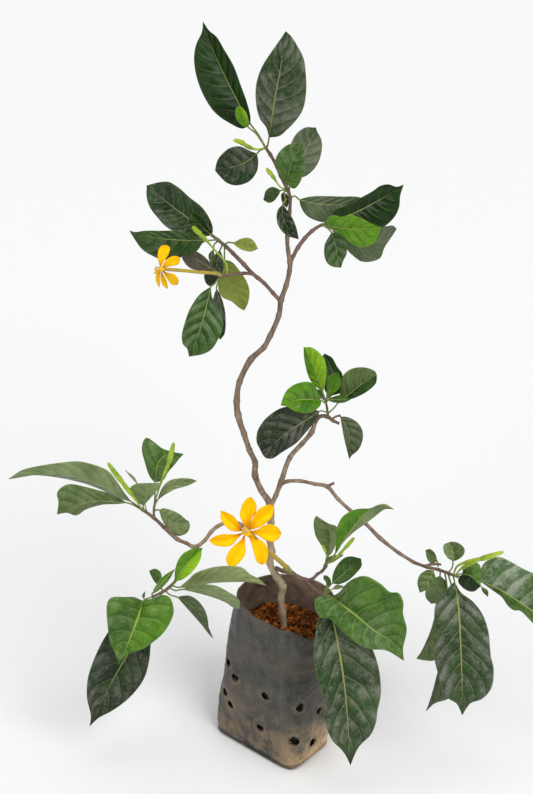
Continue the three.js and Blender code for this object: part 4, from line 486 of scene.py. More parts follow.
BUDS = {
  "crown_bud": bud("crown_spray",
    [[264.5, 150, -9], [256, 149.4, -15], [247, 146, -20], [240.7, 142, -24], [233.5, 140.2, -28]], 4.6),
  "neck_bud": bud("neck_spray",
    [[287, 189.5, -2], [281, 187.5, -5.5], [273.3, 177, -11], [266.6, 168.5, -14]], 4.3, 0.5),
  "long_stalked_bud": bud("left_hanging_spray",
    [[233, 273.4, -13], [225.7, 263.3, -21], [213.3, 248.4, -31], [203.3, 237.2, -39], [192.5, 226.6, -46]],
     5.2, 0.36),
  "far_left_bud_low": bud("far_left_spray",
    [[142, 509.5, -31], [135, 499, -45], [119, 478, -52], [107.8, 463, -52]], 5.4),
  "far_left_bud_high": bud("far_left_spray",
    [[155.3, 500, -26], [160.8, 483, -32], [168.6, 463, -34], [173.9, 442.6, -33]], 5),
  "rim_bud_right": bud("rim_upper_spray",
    [[326, 567, -38], [337, 557, -56], [346, 547, -64], [354.3, 537.7, -68]], 4.2, 0.6),
  "rim_bud_left": bud("rim_upper_spray", [[327, 560, -37], [325.5, 551.5, -42], [322.4, 545, -45]], 3),
  "far_right_bud_long": bud("far_right_spray",
    [[453, 574, -50], [459, 565, -62], [482, 558.6, -72], [503.3, 551.8, -78]], 5.4),
  "far_right_bud_short": bud("far_right_spray",
    [[455, 576, -51], [461, 569, -66], [472, 563, -78], [480, 558, -84]], 4.4),
}

# The two flowers.
BLOOMS = {
  "large_bloom": {
    "mouth": [245.2, 531.4, -53.5], "mouth_width": 9,
    "tube": [[288.6, 569, -15], [279, 560.5, -22], [266, 549, -32], [253, 537, -42]],
    "tube_width": 5.4,
    "calyx": [[291, 572.6, -12.5, 5.4], [288.5, 570, -15.5, 5.6], [286, 567.5, -18, 6.4]],
    "stigma": [[247, 533.5, -50, 2.2], [245.6, 530.2, -57, 5.6], [244.6, 527.6, -60, 3]],
    "petals": {
      "top": petal(
        [[246, 529.5, -49], [249, 514, -43], [251.3, 496.7, -35]],
        [[242.8, 522.3], [239.8, 515.6], [241.9, 505.6], [246.7, 498.6]],
        [[249.5, 526], [251.5, 518.5], [255.8, 511.8], [256.5, 505], [254.3, 500.6]]),
      "upper_right": petal(
        [[247.5, 530.5, -50], [261, 517, -48], [273.7, 505.6, -42]],
        [[251.5, 520.4], [256.2, 511.8], [262, 507], [268.7, 504.6]],
        [[257.2, 528], [265.8, 523.3], [271.6, 517.5], [273.6, 510.8]]),
      "right": petal(
        [[248.5, 531.8, -50], [264, 532.5, -54], [281.4, 532.8, -52]],
        [[258.2, 529], [263.9, 525.2], [271.6, 524.4], [278.3, 527.6]],
        [[258.2, 535.7], [265.8, 540.5], [274.4, 541.5], [279.7, 537.6]]),
      "lower_right": petal(
        [[247.5, 533.5, -50], [256.5, 549, -58], [262, 564.6, -60]],
        [[254.3, 538.6], [262, 540.5], [266.8, 546.2], [268.2, 555.8], [266.3, 562.5]],
        [[251.5, 544.3], [254.3, 554.9], [257.4, 562.5]]),
      "lower_left": petal(
        [[245, 534, -50], [238.5, 550, -58], [228.5, 566, -62]],
        [[240, 540.5], [233.3, 546.2], [228.5, 552], [226, 559.6]],
        [[245.2, 546.2], [245.7, 552], [241.9, 559.6], [235, 566]]),
      "left": petal(
        [[243, 533, -50], [226, 539.5, -54], [208.9, 540.5, -54]],
        [[234.2, 534.3], [221.8, 534.3], [214, 536.7]],
        [[237, 539.5], [231.4, 545.3], [223.7, 546.7], [214, 544.8]]),
      "upper_left": petal(
        [[243, 531, -50], [231, 521.5, -46], [220.8, 510.4, -40]],
        [[238, 522.3], [234.2, 516.6], [227.5, 512.8]],
        [[233.3, 531.4], [228.5, 529], [223.7, 524.2], [220.4, 516.6]]),
    },
  },
  "small_bloom": {
    "mouth": [159.8, 269.2, -67], "mouth_width": 5.4,
    "tube": [[217, 273.2, -26], [199.6, 272.2, -40], [182.2, 270.5, -52], [163, 269.2, -63]],
    "tube_width": 3.4,
    "calyx": [[221, 276, -23.4, 3], [218.5, 274, -25.4, 3.8], [215.5, 273.2, -27.6, 4]],
    "stigma": [[160.2, 269.2, -65, 1.6], [157.2, 268.9, -71, 4.4], [155.5, 268.8, -73, 2.6]],
    "petals": {
      "top": petal(
        [[160.2, 268, -64], [163.5, 256, -62], [166.6, 244.9, -59]],
        [[157.8, 258], [158.6, 249.6], [162, 245.6]], [[163.5, 262], [169, 253.3], [169.8, 247.7]], (-2, 2)),
      "upper_back": petal(
        [[161.5, 268.5, -63], [171, 261.5, -58], [180.3, 259.6, -53]],
        [[166, 260], [173.5, 256], [178.6, 256.8]], [[169.8, 266.4], [178.5, 263.9]], (-2, 2)),
      "lower_back": petal(
        [[161.5, 270, -63], [170.5, 278, -58], [177.8, 285, -54]],
        [[167.3, 272.6], [174.7, 274.5], [178.7, 280.7]], [[166, 277], [172, 284.6]], (-2, 2)),
      "low": petal(
        [[160.6, 270.6, -64.5], [164, 280, -64], [167.9, 288.8, -62]], [[163.4, 274.6], [166.6, 280.5]],
        [[161, 279.5], [163.4, 286.2]], (-2, 2)),
      "low_front": petal(
        [[159.6, 270.6, -65], [158.4, 279, -71], [159.3, 287.3, -76]], [[156, 275.7], [156.5, 282.5]],
        [[160.4, 279.5]], (4, -6)),
      "near": petal(
        [[159.8, 269.4, -65], [156.6, 271, -74], [153.4, 273.6, -83]], [[157.4, 269.6]], [[157.6, 273.6]],
        (4, 2)),
    },
  },
}


# ---- Curves ----

def catmull(points, t):
    """A centripetal Catmull-Rom curve through the points, at t from 0 to 1 of its uniform parameter."""
    count = len(points)
    place = t * (count - 1)
    i = min(int(place), count - 2)
    weight = place - i
    p1, p2 = points[i], points[i + 1]
    p0 = points[i - 1] if i > 0 else p1 * 2 - p2
    p3 = points[i + 2] if i + 2 < count else p2 * 2 - p1
    d0 = max((p1 - p0).length, 1e-4) ** 0.5
    d1 = max((p2 - p1).length, 1e-4) ** 0.5
    d2 = max((p3 - p2).length, 1e-4) ** 0.5
    m1 = ((p1 - p0) / d0 - (p2 - p0) / (d0 + d1) + (p2 - p1) / d1) * d1
    m2 = ((p2 - p1) / d1 - (p3 - p1) / (d1 + d2) + (p3 - p2) / d2) * d1
    w2, w3 = weight * weight, weight ** 3
    return (p1 * (2 * w3 - 3 * w2 + 1) + m1 * (w3 - 2 * w2 + weight) + p2 * (3 * w2 - 2 * w3) + m2 * (w3 - w2))


class Path:
    """A smooth curve through points, read by its arc length."""

    def __init__(self, points, steps=160):
        self.points = [Vector(p) for p in points]
        self.places = [catmull(self.points, i / steps) for i in range(steps + 1)]
        self.lengths = [0.0]
        for a, b in zip(self.places, self.places[1:]):
            self.lengths.append(self.lengths[-1] + (b - a).length)
        self.steps = steps

    def at(self, t):
        target = t * self.lengths[-1]
        low, high = 0, self.steps
        while high - low > 1:
            middle = (low + high) // 2
            if self.lengths[middle] <= target:
                low = middle
            else:
                high = middle
        span = self.lengths[high] - self.lengths[low]
        return self.places[low].lerp(self.places[high], (target - self.lengths[low]) / span if span > 0 else 0)


# ---- Materials ----

GLOSS_VEIL = 0.012
RIB_AT_STALK = "a9b052"
RIB_STRENGTH = 0.85
LEAF_DUST = "b2b6a6"
LICHEN = "b3b094"
LOW_ROUGHNESS, MIDDLE_ROUGHNESS = 0.35, 0.4


def colour(text, gain=1.0):
    """A display colour such as "5da013" as the linear colour that the shader takes."""
    parts = [int(text[i:i + 2], 16) / 255 for i in (0, 2, 4)]
    linear = [c / 12.92 if c <= 0.04045 else ((c + 0.055) / 1.055) ** 2.4 for c in parts]
    return (*[c * gain for c in linear], 1)


def leaf_colour(text):
    """A blade's display colour, less what its gloss adds to it."""
    return (*[max(c - GLOSS_VEIL, 0.3 * c) for c in colour(text)[:3]], 1)


class Nodes:
    """Short hand for building a material. paint turns its colours, written as text, into those of the shader."""

    def __init__(self, name, paint=colour):
        self.material = bpy.data.materials.new(name)
        self.material.use_nodes = True
        self.tree = self.material.node_tree
        self.paint = paint

    def put(self, socket, value):
        if isinstance(value, bpy.types.NodeSocket):
            self.tree.links.new(value, socket)
        else:
            socket.default_value = value

    def new(self, kind, *values, settings=None, **inputs):
        """A node with its settings, its first inputs in their own order, and the others by name."""
        node = self.tree.nodes.new("ShaderNode" + kind)
        for key, value in (settings or {}).items():
            setattr(node, key, value)
        for socket, value in zip(node.inputs, values):
            self.put(socket, value)
        for key, value in inputs.items():
            self.put(node.inputs[key], value)
        return node

    def math(self, operation, a, b=0.0):
        return self.new("Math", a, b, settings={"operation": operation}).outputs[0]

    def times(self, first, *others):
        for other in others:
            first = self.math("MULTIPLY", first, other)
        return first

    def plus(self, first, *others):
        for other in others:
            first = self.math("ADD", first, other)
        return first

    def ramp(self, value, low, high, start=0.0, end=1.0):
        return self.new("MapRange", value, low, high, start, end).outputs[0]

    def mix(self, factor, a, b):
        node = self.new("Mix", factor, settings={"data_type": "RGBA"})
        self.put(node.inputs[6], a)
        self.put(node.inputs[7], b)
        return node.outputs[2]

    def between(self, low, high, factor):
        return self.mix(factor, self.paint(low), self.paint(high))

    def tint(self, base, text, *factors):
        """Paints a colour over the base, as strongly as the product of the factors."""
        return self.mix(self.times(*factors), base, self.paint(text))

    def place(self):
        """The place on the piece, in metres."""
        return self.new("TexCoord").outputs["Object"]

    def stretched(self, x, y, z):
        return self.new("Mapping", Vector=self.place(), Scale=(x, y, z)).outputs[0]

    def split(self, vector):
        return self.new("SeparateXYZ", vector).outputs

    def noise(self, scale, detail=4.0, rough=0.55, vector=None):
        spot = self.place() if vector is None else vector
        return self.new("TexNoise", Vector=spot, Scale=scale, Detail=detail, Roughness=rough).outputs["Fac"]

    def sway(self, value, amount, *noise):
        """The value, moved up and down by half that amount of a noise."""
        return self.plus(value, self.times(self.math("SUBTRACT", self.noise(*noise), 0.5), amount))

    def cells(self, scale, vector=None, feature="F1"):
        spot = self.place() if vector is None else vector
        return self.new("TexVoronoi", settings={"feature": feature}, Vector=spot, Scale=scale).outputs

    def from_middle(self, across):
        """0 on the rib and 1 on both edges, where across runs from 0 to 1."""
        return self.times(self.math("ABSOLUTE", self.math("SUBTRACT", across, 0.5)), 2.0)

    def bump(self, height, distance):
        return self.new("Bump", Height=height, Distance=distance).outputs[0]

    def out(self, **inputs):
        """Sets the shader's inputs. An underscore in a name stands for a space."""
        for key, value in inputs.items():
            self.put(self.tree.nodes["Principled BSDF"].inputs[key.replace("_", " ")], value)
        return self.material


def leaf_material(name, deep, light, vein, sheen="", roughness=0.36, relief=0.0005, side_veins=0.25):
    """A blade: U runs across it and V along its rib. A second map counts its side veins, and numbers the blade."""
    n = Nodes(name, leaf_colour)
    form, veins = (n.split(n.new("UVMap", settings={"uv_map": uv}).outputs[0]) for uv in ("form", "veins"))
    across, along = n.from_middle(form[0]), form[1]
    # One turn leads from each side vein to the next. Ahead of a vein the blade carries painted sheen, a painted
    # reflection, and behind it painted shade.
    turns = n.times(n.sway(veins[0], 0.6, 30, 1), 2 * math.pi)
    wave = n.math("COSINE", turns)
    ahead = n.math("COSINE", n.math("SUBTRACT", turns, 1.3))
    behind = n.math("COSINE", n.plus(turns, 0.75))
    side = n.times(n.ramp(wave, 0.94, 0.99), n.ramp(across, 0.97, 0.5))
    rib = n.ramp(n.math("DIVIDE", across, n.math("SUBTRACT", 1.2, along)), 0.052, 0.028)
    fine = n.ramp(n.cells(420, feature="DISTANCE_TO_EDGE")["Distance"], 0.0, 0.12, 1.0, 0.0)
    base = n.between(deep, light, n.ramp(n.noise(38, 6, 0.6), 0.34, 0.66))
    base = n.tint(base, deep, n.ramp(n.noise(230, 6, 0.75), 0.46, 0.62, 0.0, 0.42))
    if sheen:
        # Painted reflection: patches and fine mottles of the sheen colour, strongest ahead of each side vein.
        sheen_patches = n.ramp(n.noise(24, 9, 0.8), 0.47, 0.6)
        sheen_mottle = n.times(n.ramp(n.noise(130, 7, 0.85), 0.49, 0.58), n.ramp(sheen_patches, 0.0, 1.0, 0.35, 0.8))
        base = n.tint(base, sheen, sheen_patches, n.ramp(ahead, -0.6, 0.7, 0.3, 1.0), 0.64)
        base = n.tint(base, sheen, sheen_mottle, 0.5)
        base = n.tint(base, LEAF_DUST, n.ramp(n.noise(520, 7, 0.9), 0.57, 0.64, 0.0, 0.2))
    # Painted shade: the deep colour darkens the blade just behind each side vein.
    base = n.tint(base, deep, n.ramp(behind, 0.5, 1.0, 0.0, 0.38))
    base = n.tint(base, vein, fine, 0.05)
    base = n.tint(base, vein, side, side_veins)
    rib_colour = n.between(RIB_AT_STALK, vein, n.ramp(along, 0.05, 0.5))
    base = n.mix(n.times(rib, RIB_STRENGTH), base, rib_colour)
    base = n.tint(base, vein, n.ramp(across, 0.95, 1.0, 0.0, 0.3))
    swell = n.plus(n.times(wave, -0.55), n.times(rib, -0.7))
    pores = n.plus(n.times(fine, -0.16), n.times(n.noise(300, 4), 0.5))
    gloss = n.ramp(n.noise(60, 5), 0.32, 0.68, roughness - 0.08, roughness + 0.12)
    coat = 0.3 if roughness < LOW_ROUGHNESS else 0.12 if roughness < MIDDLE_ROUGHNESS else 0.03
    return n.out(Base_Color=base, Roughness=gloss, Normal=n.bump(n.plus(swell, pores), relief),
                 Specular_IOR_Level=0.12, Coat_Weight=coat, Coat_Roughness=0.2)


# Where a tone has a fourth colour, that colour is painted reflection, laid over the blade as sheen patches and
# streaks; one tone carries it as strong streaks.
LEAF_TONES = {
    "dark": leaf_material("leaf_dark", "16280d", "2b471a", "74834a"),
    "deep": leaf_material("leaf_deep", "1a2817", "2f4426", "6d7a4c", "6e6d64"),
    "sheen": leaf_material("leaf_sheen", "1f361c", "37522c", "a19b6c", "85857b", relief=0.0008),
    "streaked": leaf_material("leaf_streaked", "2a4a18", "4c7030", "bcc274", "b4bcac", relief=0.0008),
    "grey": leaf_material("leaf_grey", "43523a", "5f6c50", "8f9868", "767a67", roughness=0.46, side_veins=0.3),
    "moss": leaf_material("leaf_moss", "40552c", "67794b", "9aa66c", "7d8a68", roughness=0.46, side_veins=0.3),
    "plum": leaf_material("leaf_plum", "42413a", "615c50", "857f5c", "6c645a", roughness=0.46),
    "olive": leaf_material("leaf_olive", "7b893e", "9aa455", "b0b870", roughness=0.46, side_veins=0.3),
    "green": leaf_material("leaf_green", "223c0f", "446426", "8fa055", "66795a"),
    "leafy": leaf_material("leaf_leafy", "335a0e", "5c8722", "9cb354", "7c9a58"),
    "mid": leaf_material("leaf_mid", "2c4d12", "567a30", "8fa55a", "7c8f62"),
    "bright": leaf_material("leaf_bright", "386a04", "6c9c0a", "a3bd4a", roughness=0.32, relief=0.0007),
    "lime": leaf_material("leaf_lime", "649a08", "92ba18", "bdd05c", roughness=0.34),
    "silver": leaf_material("leaf_silver", "66784e", "8b9a6c", "aab584", roughness=0.46, side_veins=0.35),
    "pale": leaf_material("leaf_underside", "83935c", "a7b37e", "bec793", roughness=0.52, side_veins=0.4),
    "under": leaf_material("leaf_back", "5b6c44", "7b8a59", "98a36c", roughness=0.55, side_veins=0.4),
}


def stem_material(name, dark, light, spot, roughness=0.8, scale=1.0, upper=None):
    """Bark with long streaks, pale specks and rings. upper is its two colours from the first fork on."""
    n = Nodes(name)
    streak = n.noise(260 * scale, 6, 0.65, n.stretched(1, 1, 0.22))
    blotch = n.ramp(n.noise(70 * scale, 4), 0.35, 0.65)
    speck = n.ramp(n.cells(330 * scale, n.stretched(1, 1, 0.7))["Distance"], 0.22, 0.1)
    base = n.between(dark, light, n.ramp(streak, 0.35, 0.65))
    base = n.mix(n.times(blotch, 0.45), base, colour(light, 1.15))
    base = n.tint(base, spot, speck, 0.6)
    if upper:
        sideways, _, height = n.split(n.place())
        away = n.ramp(n.math("ABSOLUTE", n.plus(sideways, 0.01)), 0.04, 0.08)
        beyond = n.times(n.math("MAXIMUM", n.ramp(height, 0.19, 0.31), away), 0.85)
        base = n.mix(beyond, base, n.between(*upper, n.ramp(streak, 0.35, 0.65)))
        lichen = n.times(n.ramp(n.noise(180, 7, 0.75), 0.52, 0.6), n.ramp(height, 0.42, 0.3))
        base = n.tint(base, LICHEN, lichen, n.ramp(away, 0.0, 1.0, 1.0, 0.35), 0.6)
    rings = n.noise(900 * scale, 3, 0.5, n.stretched(0.3, 0.3, 1.4))
    relief = n.plus(streak, n.times(speck, 0.5), n.times(rings, 0.4))
    return n.out(Base_Color=base, Roughness=roughness, Normal=n.bump(relief, 0.0007))


def petal_material():
    """Golden yellow with fine streaks along it, deeper at its edges, with painted shade in dark brown at its foot
    round the stigma.
    """
    n = Nodes("petal")
    sideways, along, _ = n.split(n.new("TexCoord").outputs["UV"])
    fan = n.plus(n.times(sideways, 44.0), n.times(n.noise(90, 3), 5.0))
    streak = n.math("POWER", n.ramp(n.math("SINE", fan), 0.2, 1.0), 1.6)
    base = n.between("ffc000", "ffd000", n.ramp(n.noise(110, 4), 0.3, 0.7))
    base = n.tint(base, "fba800", streak, 0.2)
    base = n.tint(base, "dd7400", n.ramp(along, 0.36, 0.0, 0.0, 0.85))
    base = n.tint(base, "f29600", n.ramp(n.from_middle(sideways), 0.75, 1.0, 0.0, 0.45))
    # Painted shade: a dark brown ring at the petal's foot, round the stigma.
    base = n.tint(base, "8f4c00", n.ramp(along, 0.13, 0.03, 0.0, 0.7))
    relief = n.plus(n.times(streak, -0.6), n.times(n.noise(700, 3), 0.3))
    return n.out(Base_Color=base, Roughness=0.6, Normal=n.bump(relief, 0.0004), Specular_IOR_Level=0.1)


def soft_material(name, low, high, roughness, scale, height=0.0004):
    """Two colours in fine grains and upright ridges."""
    n = Nodes(name)
    grain = n.noise(scale, 5)
    ridge = n.noise(scale * 3, 3, 0.5, n.stretched(1, 1, 0.25))
    base = n.between(low, high, n.ramp(grain, 0.3, 0.7))
    return n.out(Base_Color=base, Roughness=roughness, Normal=n.bump(n.plus(grain, ridge), height))


def film_material():
    """Dusty grey film: pale scuffs, tan soil stains that climb from the foot and round the holes, and painted
    shade in the foot's fold and creases.
    """
    n = Nodes("film")
    sideways, _, height = n.split(n.place())
    stain = n.new("Attribute", settings={"attribute_name": "stain"}).outputs["Fac"]
    dust = n.ramp(n.noise(95, 8, 0.72, n.stretched(1, 1, 0.4)), 0.44, 0.68)
    base = n.between("21211f", "3e3c35", n.ramp(n.noise(24, 6, 0.62), 0.36, 0.64))
    base = n.tint(base, "5d4f3e", n.ramp(n.noise(17, 5, 0.6, n.stretched(1, 1, 1.6)), 0.48, 0.62), 0.5)
    base = n.tint(base, "67665d", dust, 0.42)
    base = n.tint(base, "77766c", n.ramp(n.noise(260, 8, 0.8, n.stretched(1, 1, 0.3)), 0.55, 0.66), 0.3)
    # Tan soil climbs from the foot, most of all at its right corner.
    drift = n.sway(height, 0.12, 14, 5, 0.6)
    low = n.times(n.ramp(drift, 0.075, 0.01), n.ramp(sideways, -0.03, 0.045, 0.4, 0.95))
    base = n.tint(base, "a98d66", n.ramp(n.noise(46, 9, 0.82), 0.44, 0.53), 0.85, low)
    corner = n.times(n.ramp(sideways, 0.0, 0.035), n.ramp(drift, 0.05, 0.025))
    base = n.tint(base, "cfae82", corner, n.ramp(n.noise(60, 7, 0.7), 0.4, 0.5, 0.1, 0.9))
    # Round each hole lies a tan halo, and a dark line on its rim.
    base = n.tint(base, "967a5c", stain, n.ramp(n.noise(170, 6, 0.7), 0.4, 0.56), 0.6)
    base = n.tint(base, "17130f", n.ramp(stain, 0.66, 0.86), n.ramp(n.noise(500, 4), 0.42, 0.5), 0.9)
    base = n.tint(base, "3b2a1e", n.ramp(n.noise(300, 7, 0.8), 0.57, 0.65), n.ramp(height, 0.13, 0.01, 0.0, 0.75))
    # Painted shade: the fold under the foot and the creases above it are darkened.
    bottom = n.sway(height, 0.006, 60, 4)
    base = n.tint(base, "100e0c", n.ramp(bottom, 0.0085, 0.0065), n.ramp(sideways, 0.035, 0.0, 0.4, 1.0), 0.93)
    crease = n.cells(34, n.stretched(1, 1, 0.6), "DISTANCE_TO_EDGE")["Distance"]
    base = n.tint(base, "241c15", n.ramp(crease, 0.02, 0.0), n.ramp(height, 0.04, 0.01), 0.6)
    relief = n.plus(n.times(n.noise(190, 8, 0.75), 0.8), n.times(n.noise(55, 5), 1.5),
                    n.times(n.ramp(crease, 0.0, 0.07, 1.0, 0.0), 0.5))
    return n.out(Base_Color=base, Roughness=n.ramp(dust, 0.0, 1.0, 0.38, 0.62), Normal=n.bump(relief, 0.0016),
                 Specular_IOR_Level=0.4)


def soil_material():
    """Reddish crumbs with dark patches, dark on the right and greenish on the left."""
    n = Nodes("soil")
    cell = n.cells(260)
    base = n.between("653708", "dc8038", n.ramp(n.split(cell["Color"])[0], 0.25, 0.95))
    base = n.tint(base, "211204", n.ramp(n.noise(400, 6, 0.7), 0.5, 0.66))
    base = n.tint(base, "1f1206", n.ramp(n.noise(28, 5, 0.6), 0.47, 0.6, 0.0, 0.8))
    base = n.tint(base, "6f6428", n.ramp(n.noise(52, 3, 0.5, n.stretched(1, 1, 1.3)), 0.6, 0.72, 0.0, 0.5))
    sideways = n.sway(n.split(n.place())[0], 0.05, 60, 6, 0.7)
    base = n.tint(base, "1d1107", n.ramp(sideways, 0.012, 0.026, 0.0, 0.5))
    base = n.tint(base, "544617", n.ramp(sideways, -0.018, -0.03, 0.0, 0.6))
    relief = n.plus(n.noise(700, 7, 0.7), n.times(cell["Distance"], -0.7))
    return n.out(Base_Color=base, Roughness=0.92, Normal=n.bump(relief, 0.0016), Specular_IOR_Level=0.1)


BARK = stem_material("bark", "8a7860", "c8b496", "dccfb4", upper=("48372f", "7d6557"))
SHOOT = stem_material("shoot", "49382f", "76604f", "8d8a52", 0.65, 1.6)
TWIG = stem_material("young_twig", "4c3a33", "7c6457", "9c8a75", 0.75, 1.4)
STALK = stem_material("leaf_stalk", "56682a", "7d8b3a", "8f8a50", 0.5, 2.0)
PETAL = petal_material()
TUBE = soft_material("flower_tube", "9a8a2e", "c3a43a", 0.5, 200)
CALYX = soft_material("calyx", "7a7c38", "a2985a", 0.5, 220)
STIGMA = soft_material("stigma", "d8a93a", "efd585", 0.6, 900, 0.0008)
BUD = soft_material("bud_skin", "6f9010", "a9c026", 0.38, 120, 0.0005)
FILM_SKIN = film_material()
FILM_INSIDE = soft_material("film_inside", "5e5146", "8e7c69", 0.5, 60, 0.0006)
FILM_TORN = soft_material("film_torn", "0e0b09", "3a2e24", 0.6, 300, 0.0006)
SOIL = soil_material()
SOIL_SIDE = soft_material("damp_soil", "120c08", "2c1d12", 0.95, 300, 0.001)


# ---- Mesh building ----

LEAF_SCAR = 0.13
VEIN_SLANT, VEIN_BEND, VEIN_SHIFT = 0.2, 1.25, 0.23
VEIN_SPACING = 17
EDGE_THINNESS = 0.35
LARGE_LEAF = 45
LARGE_GRID = (44, 11, 0.9)
SMALL_GRID = (26, 7, 0.4)
STALK_REACH = 0.14
KEEL = ((0.05, 1.0), (0.2, 0.85), (0.4, 0.7), (0.6, 0.55), (0.8, 0.42), (0.93, 0.3))
BUD_STEPS = 44
BUD_TWIST = 2.6
BUD_PROFILE = ((0, 0.38), (0.14, 0.5), (0.3, 0.78), (0.45, 0.8), (0.52, 0.7), (0.62, 1), (0.82, 0.95), (0.95, 0.7),
               (1, 0.3))


def polar(radius, angle, z):
    """The point at that distance and angle from the Z axis."""
    return Vector((radius * math.cos(angle), radius * math.sin(angle), z))


def ease(weight):
    """From 0 to 1, slow at both ends."""
    return 3 * weight ** 2 - 2 * weight ** 3


def put_in_scene(name, data):
    piece = bpy.data.objects.new(name, data)
    bpy.context.scene.collection.objects.link(piece)
    return piece


class Sheet:
    """Collects faces, each with a material and, where it has one, a place across and along its blade."""

    def __init__(self):
        self.points, self.faces, self.slots, self.uvs, self.counts = [], [], [], [], []
        self.materials = []

    def slot(self, material):
        if material not in self.materials:
            self.materials.append(material)
        return self.materials.index(material)

    def face(self, corners, slot, uvs=None, counts=None):
        self.faces.append(corners)
        self.slots.append(slot)
        self.uvs.append(uvs or [(0.5, 0.5)] * len(corners))
        self.counts.append(counts or [(0.5, 0.5)] * len(corners))

    def build(self, name):
        mesh = bpy.data.meshes.new(name)
        mesh.from_pydata([p * 0.001 for p in self.points], [], self.faces)
        for material in self.materials:
            mesh.materials.append(material)
        form, veins = mesh.uv_layers.new(name="form"), mesh.uv_layers.new(name="veins")
        corner = 0
        for polygon, slot, uvs, counts in zip(mesh.polygons, self.slots, self.uvs, self.counts):
            polygon.material_index = slot
            polygon.use_smooth = True
            for uv, count in zip(uvs, counts):
                form.data[corner].uv = uv
                veins.data[corner].uv = count
                corner += 1
        mesh.validate()
        mesh.update()
        return put_in_scene(name, mesh)


def add_tube(sheet, centres, radii, sides, material, ripple=None, tip=None, tip_from=1.0):
    """A closed tube. ripple(step, angle) scales the radius, and tip is the material from that share of it on."""
    slot = sheet.slot(material)
    tip_slot = sheet.slot(tip) if tip else slot
    start = len(sheet.points)
    last = len(centres) - 1
    side = Vector((0.31, 0.87, 0.38))
    for i, centre in enumerate(centres):
        tangent = (centres[min(i + 1, last)] - centres[max(i - 1, 0)]).normalized()
        side = (side - tangent * side.dot(tangent)).normalized()
        up = tangent.cross(side)
        for k in range(sides):
            angle = 2 * math.pi * k / sides
            radius = radii[i] * (ripple(i / last, angle) if ripple else 1)
            sheet.points.append(centre + (side * math.cos(angle) + up * math.sin(angle)) * radius)
    caps = len(sheet.points)
    sheet.points += [centres[0].copy(), centres[last].copy()]
    for k in range(sides):
        after = (k + 1) % sides
        for i in range(last):
            low = start + i * sides
            high = low + sides
            sheet.face((low + k, low + after, high + after, high + k), tip_slot if i / last >= tip_from else slot)
        sheet.face((caps, start + after, start + k), slot)
        sheet.face((caps + 1, start + last * sides + k, start + last * sides + after), tip_slot)


def add_twig(sheet, run, material, sides=12, per_span=6, knots=0.0, tip=None, tip_from=1.0):
    """A twig through sight points with diameters. With knots it swells at its points and thins between them."""
    curve = [sight(p) for p in run]
    steps = per_span * (len(run) - 1)
    centres, radii = [], []
    for step in range(steps + 1):
        t = step / steps
        centres.append(catmull(curve, t))
        place = t * (len(run) - 1)
        i = min(int(place), len(run) - 2)
        weight = place - i
        width = run[i][3] + (run[i + 1][3] - run[i][3]) * ease(weight)
        scar = LEAF_SCAR if knots and weight < 1e-6 and 0 < step < steps else 0
        radii.append(width / 2 * (1 - knots * math.sin(math.pi * weight) ** 2 + scar))
    def ripple(t, angle):
        spot = Vector((math.cos(angle), math.sin(angle), t * len(run) * 1.7 + run[0][0]))
        return 1 + (0.09 * noise.noise(spot * 1.6) if knots else 0.03 * noise.noise(spot))
    add_tube(sheet, centres, radii, sides, material, ripple, tip, tip_from)


def root_on(twigs, start):
    """The place on the given twigs, in the middle of the wood, that lies nearest to a sight point."""
    target = sight(start)
    best = None
    for run in twigs:
        for a, b in zip(run, run[1:]):
            for step in range(11):
                spot = [a[n] + (b[n] - a[n]) * step / 10 for n in range(3)]
                distance = (sight(spot) - target).length
                if best is None or distance < best[0]:
                    best = (distance, spot)
    return best[1]


def vein_count(t, s, k, veins):
    """How many side veins lie below that place. They slant towards the tip and alternate a little."""
    return veins * (t - VEIN_SLANT * s ** VEIN_BEND) + VEIN_SHIFT * k


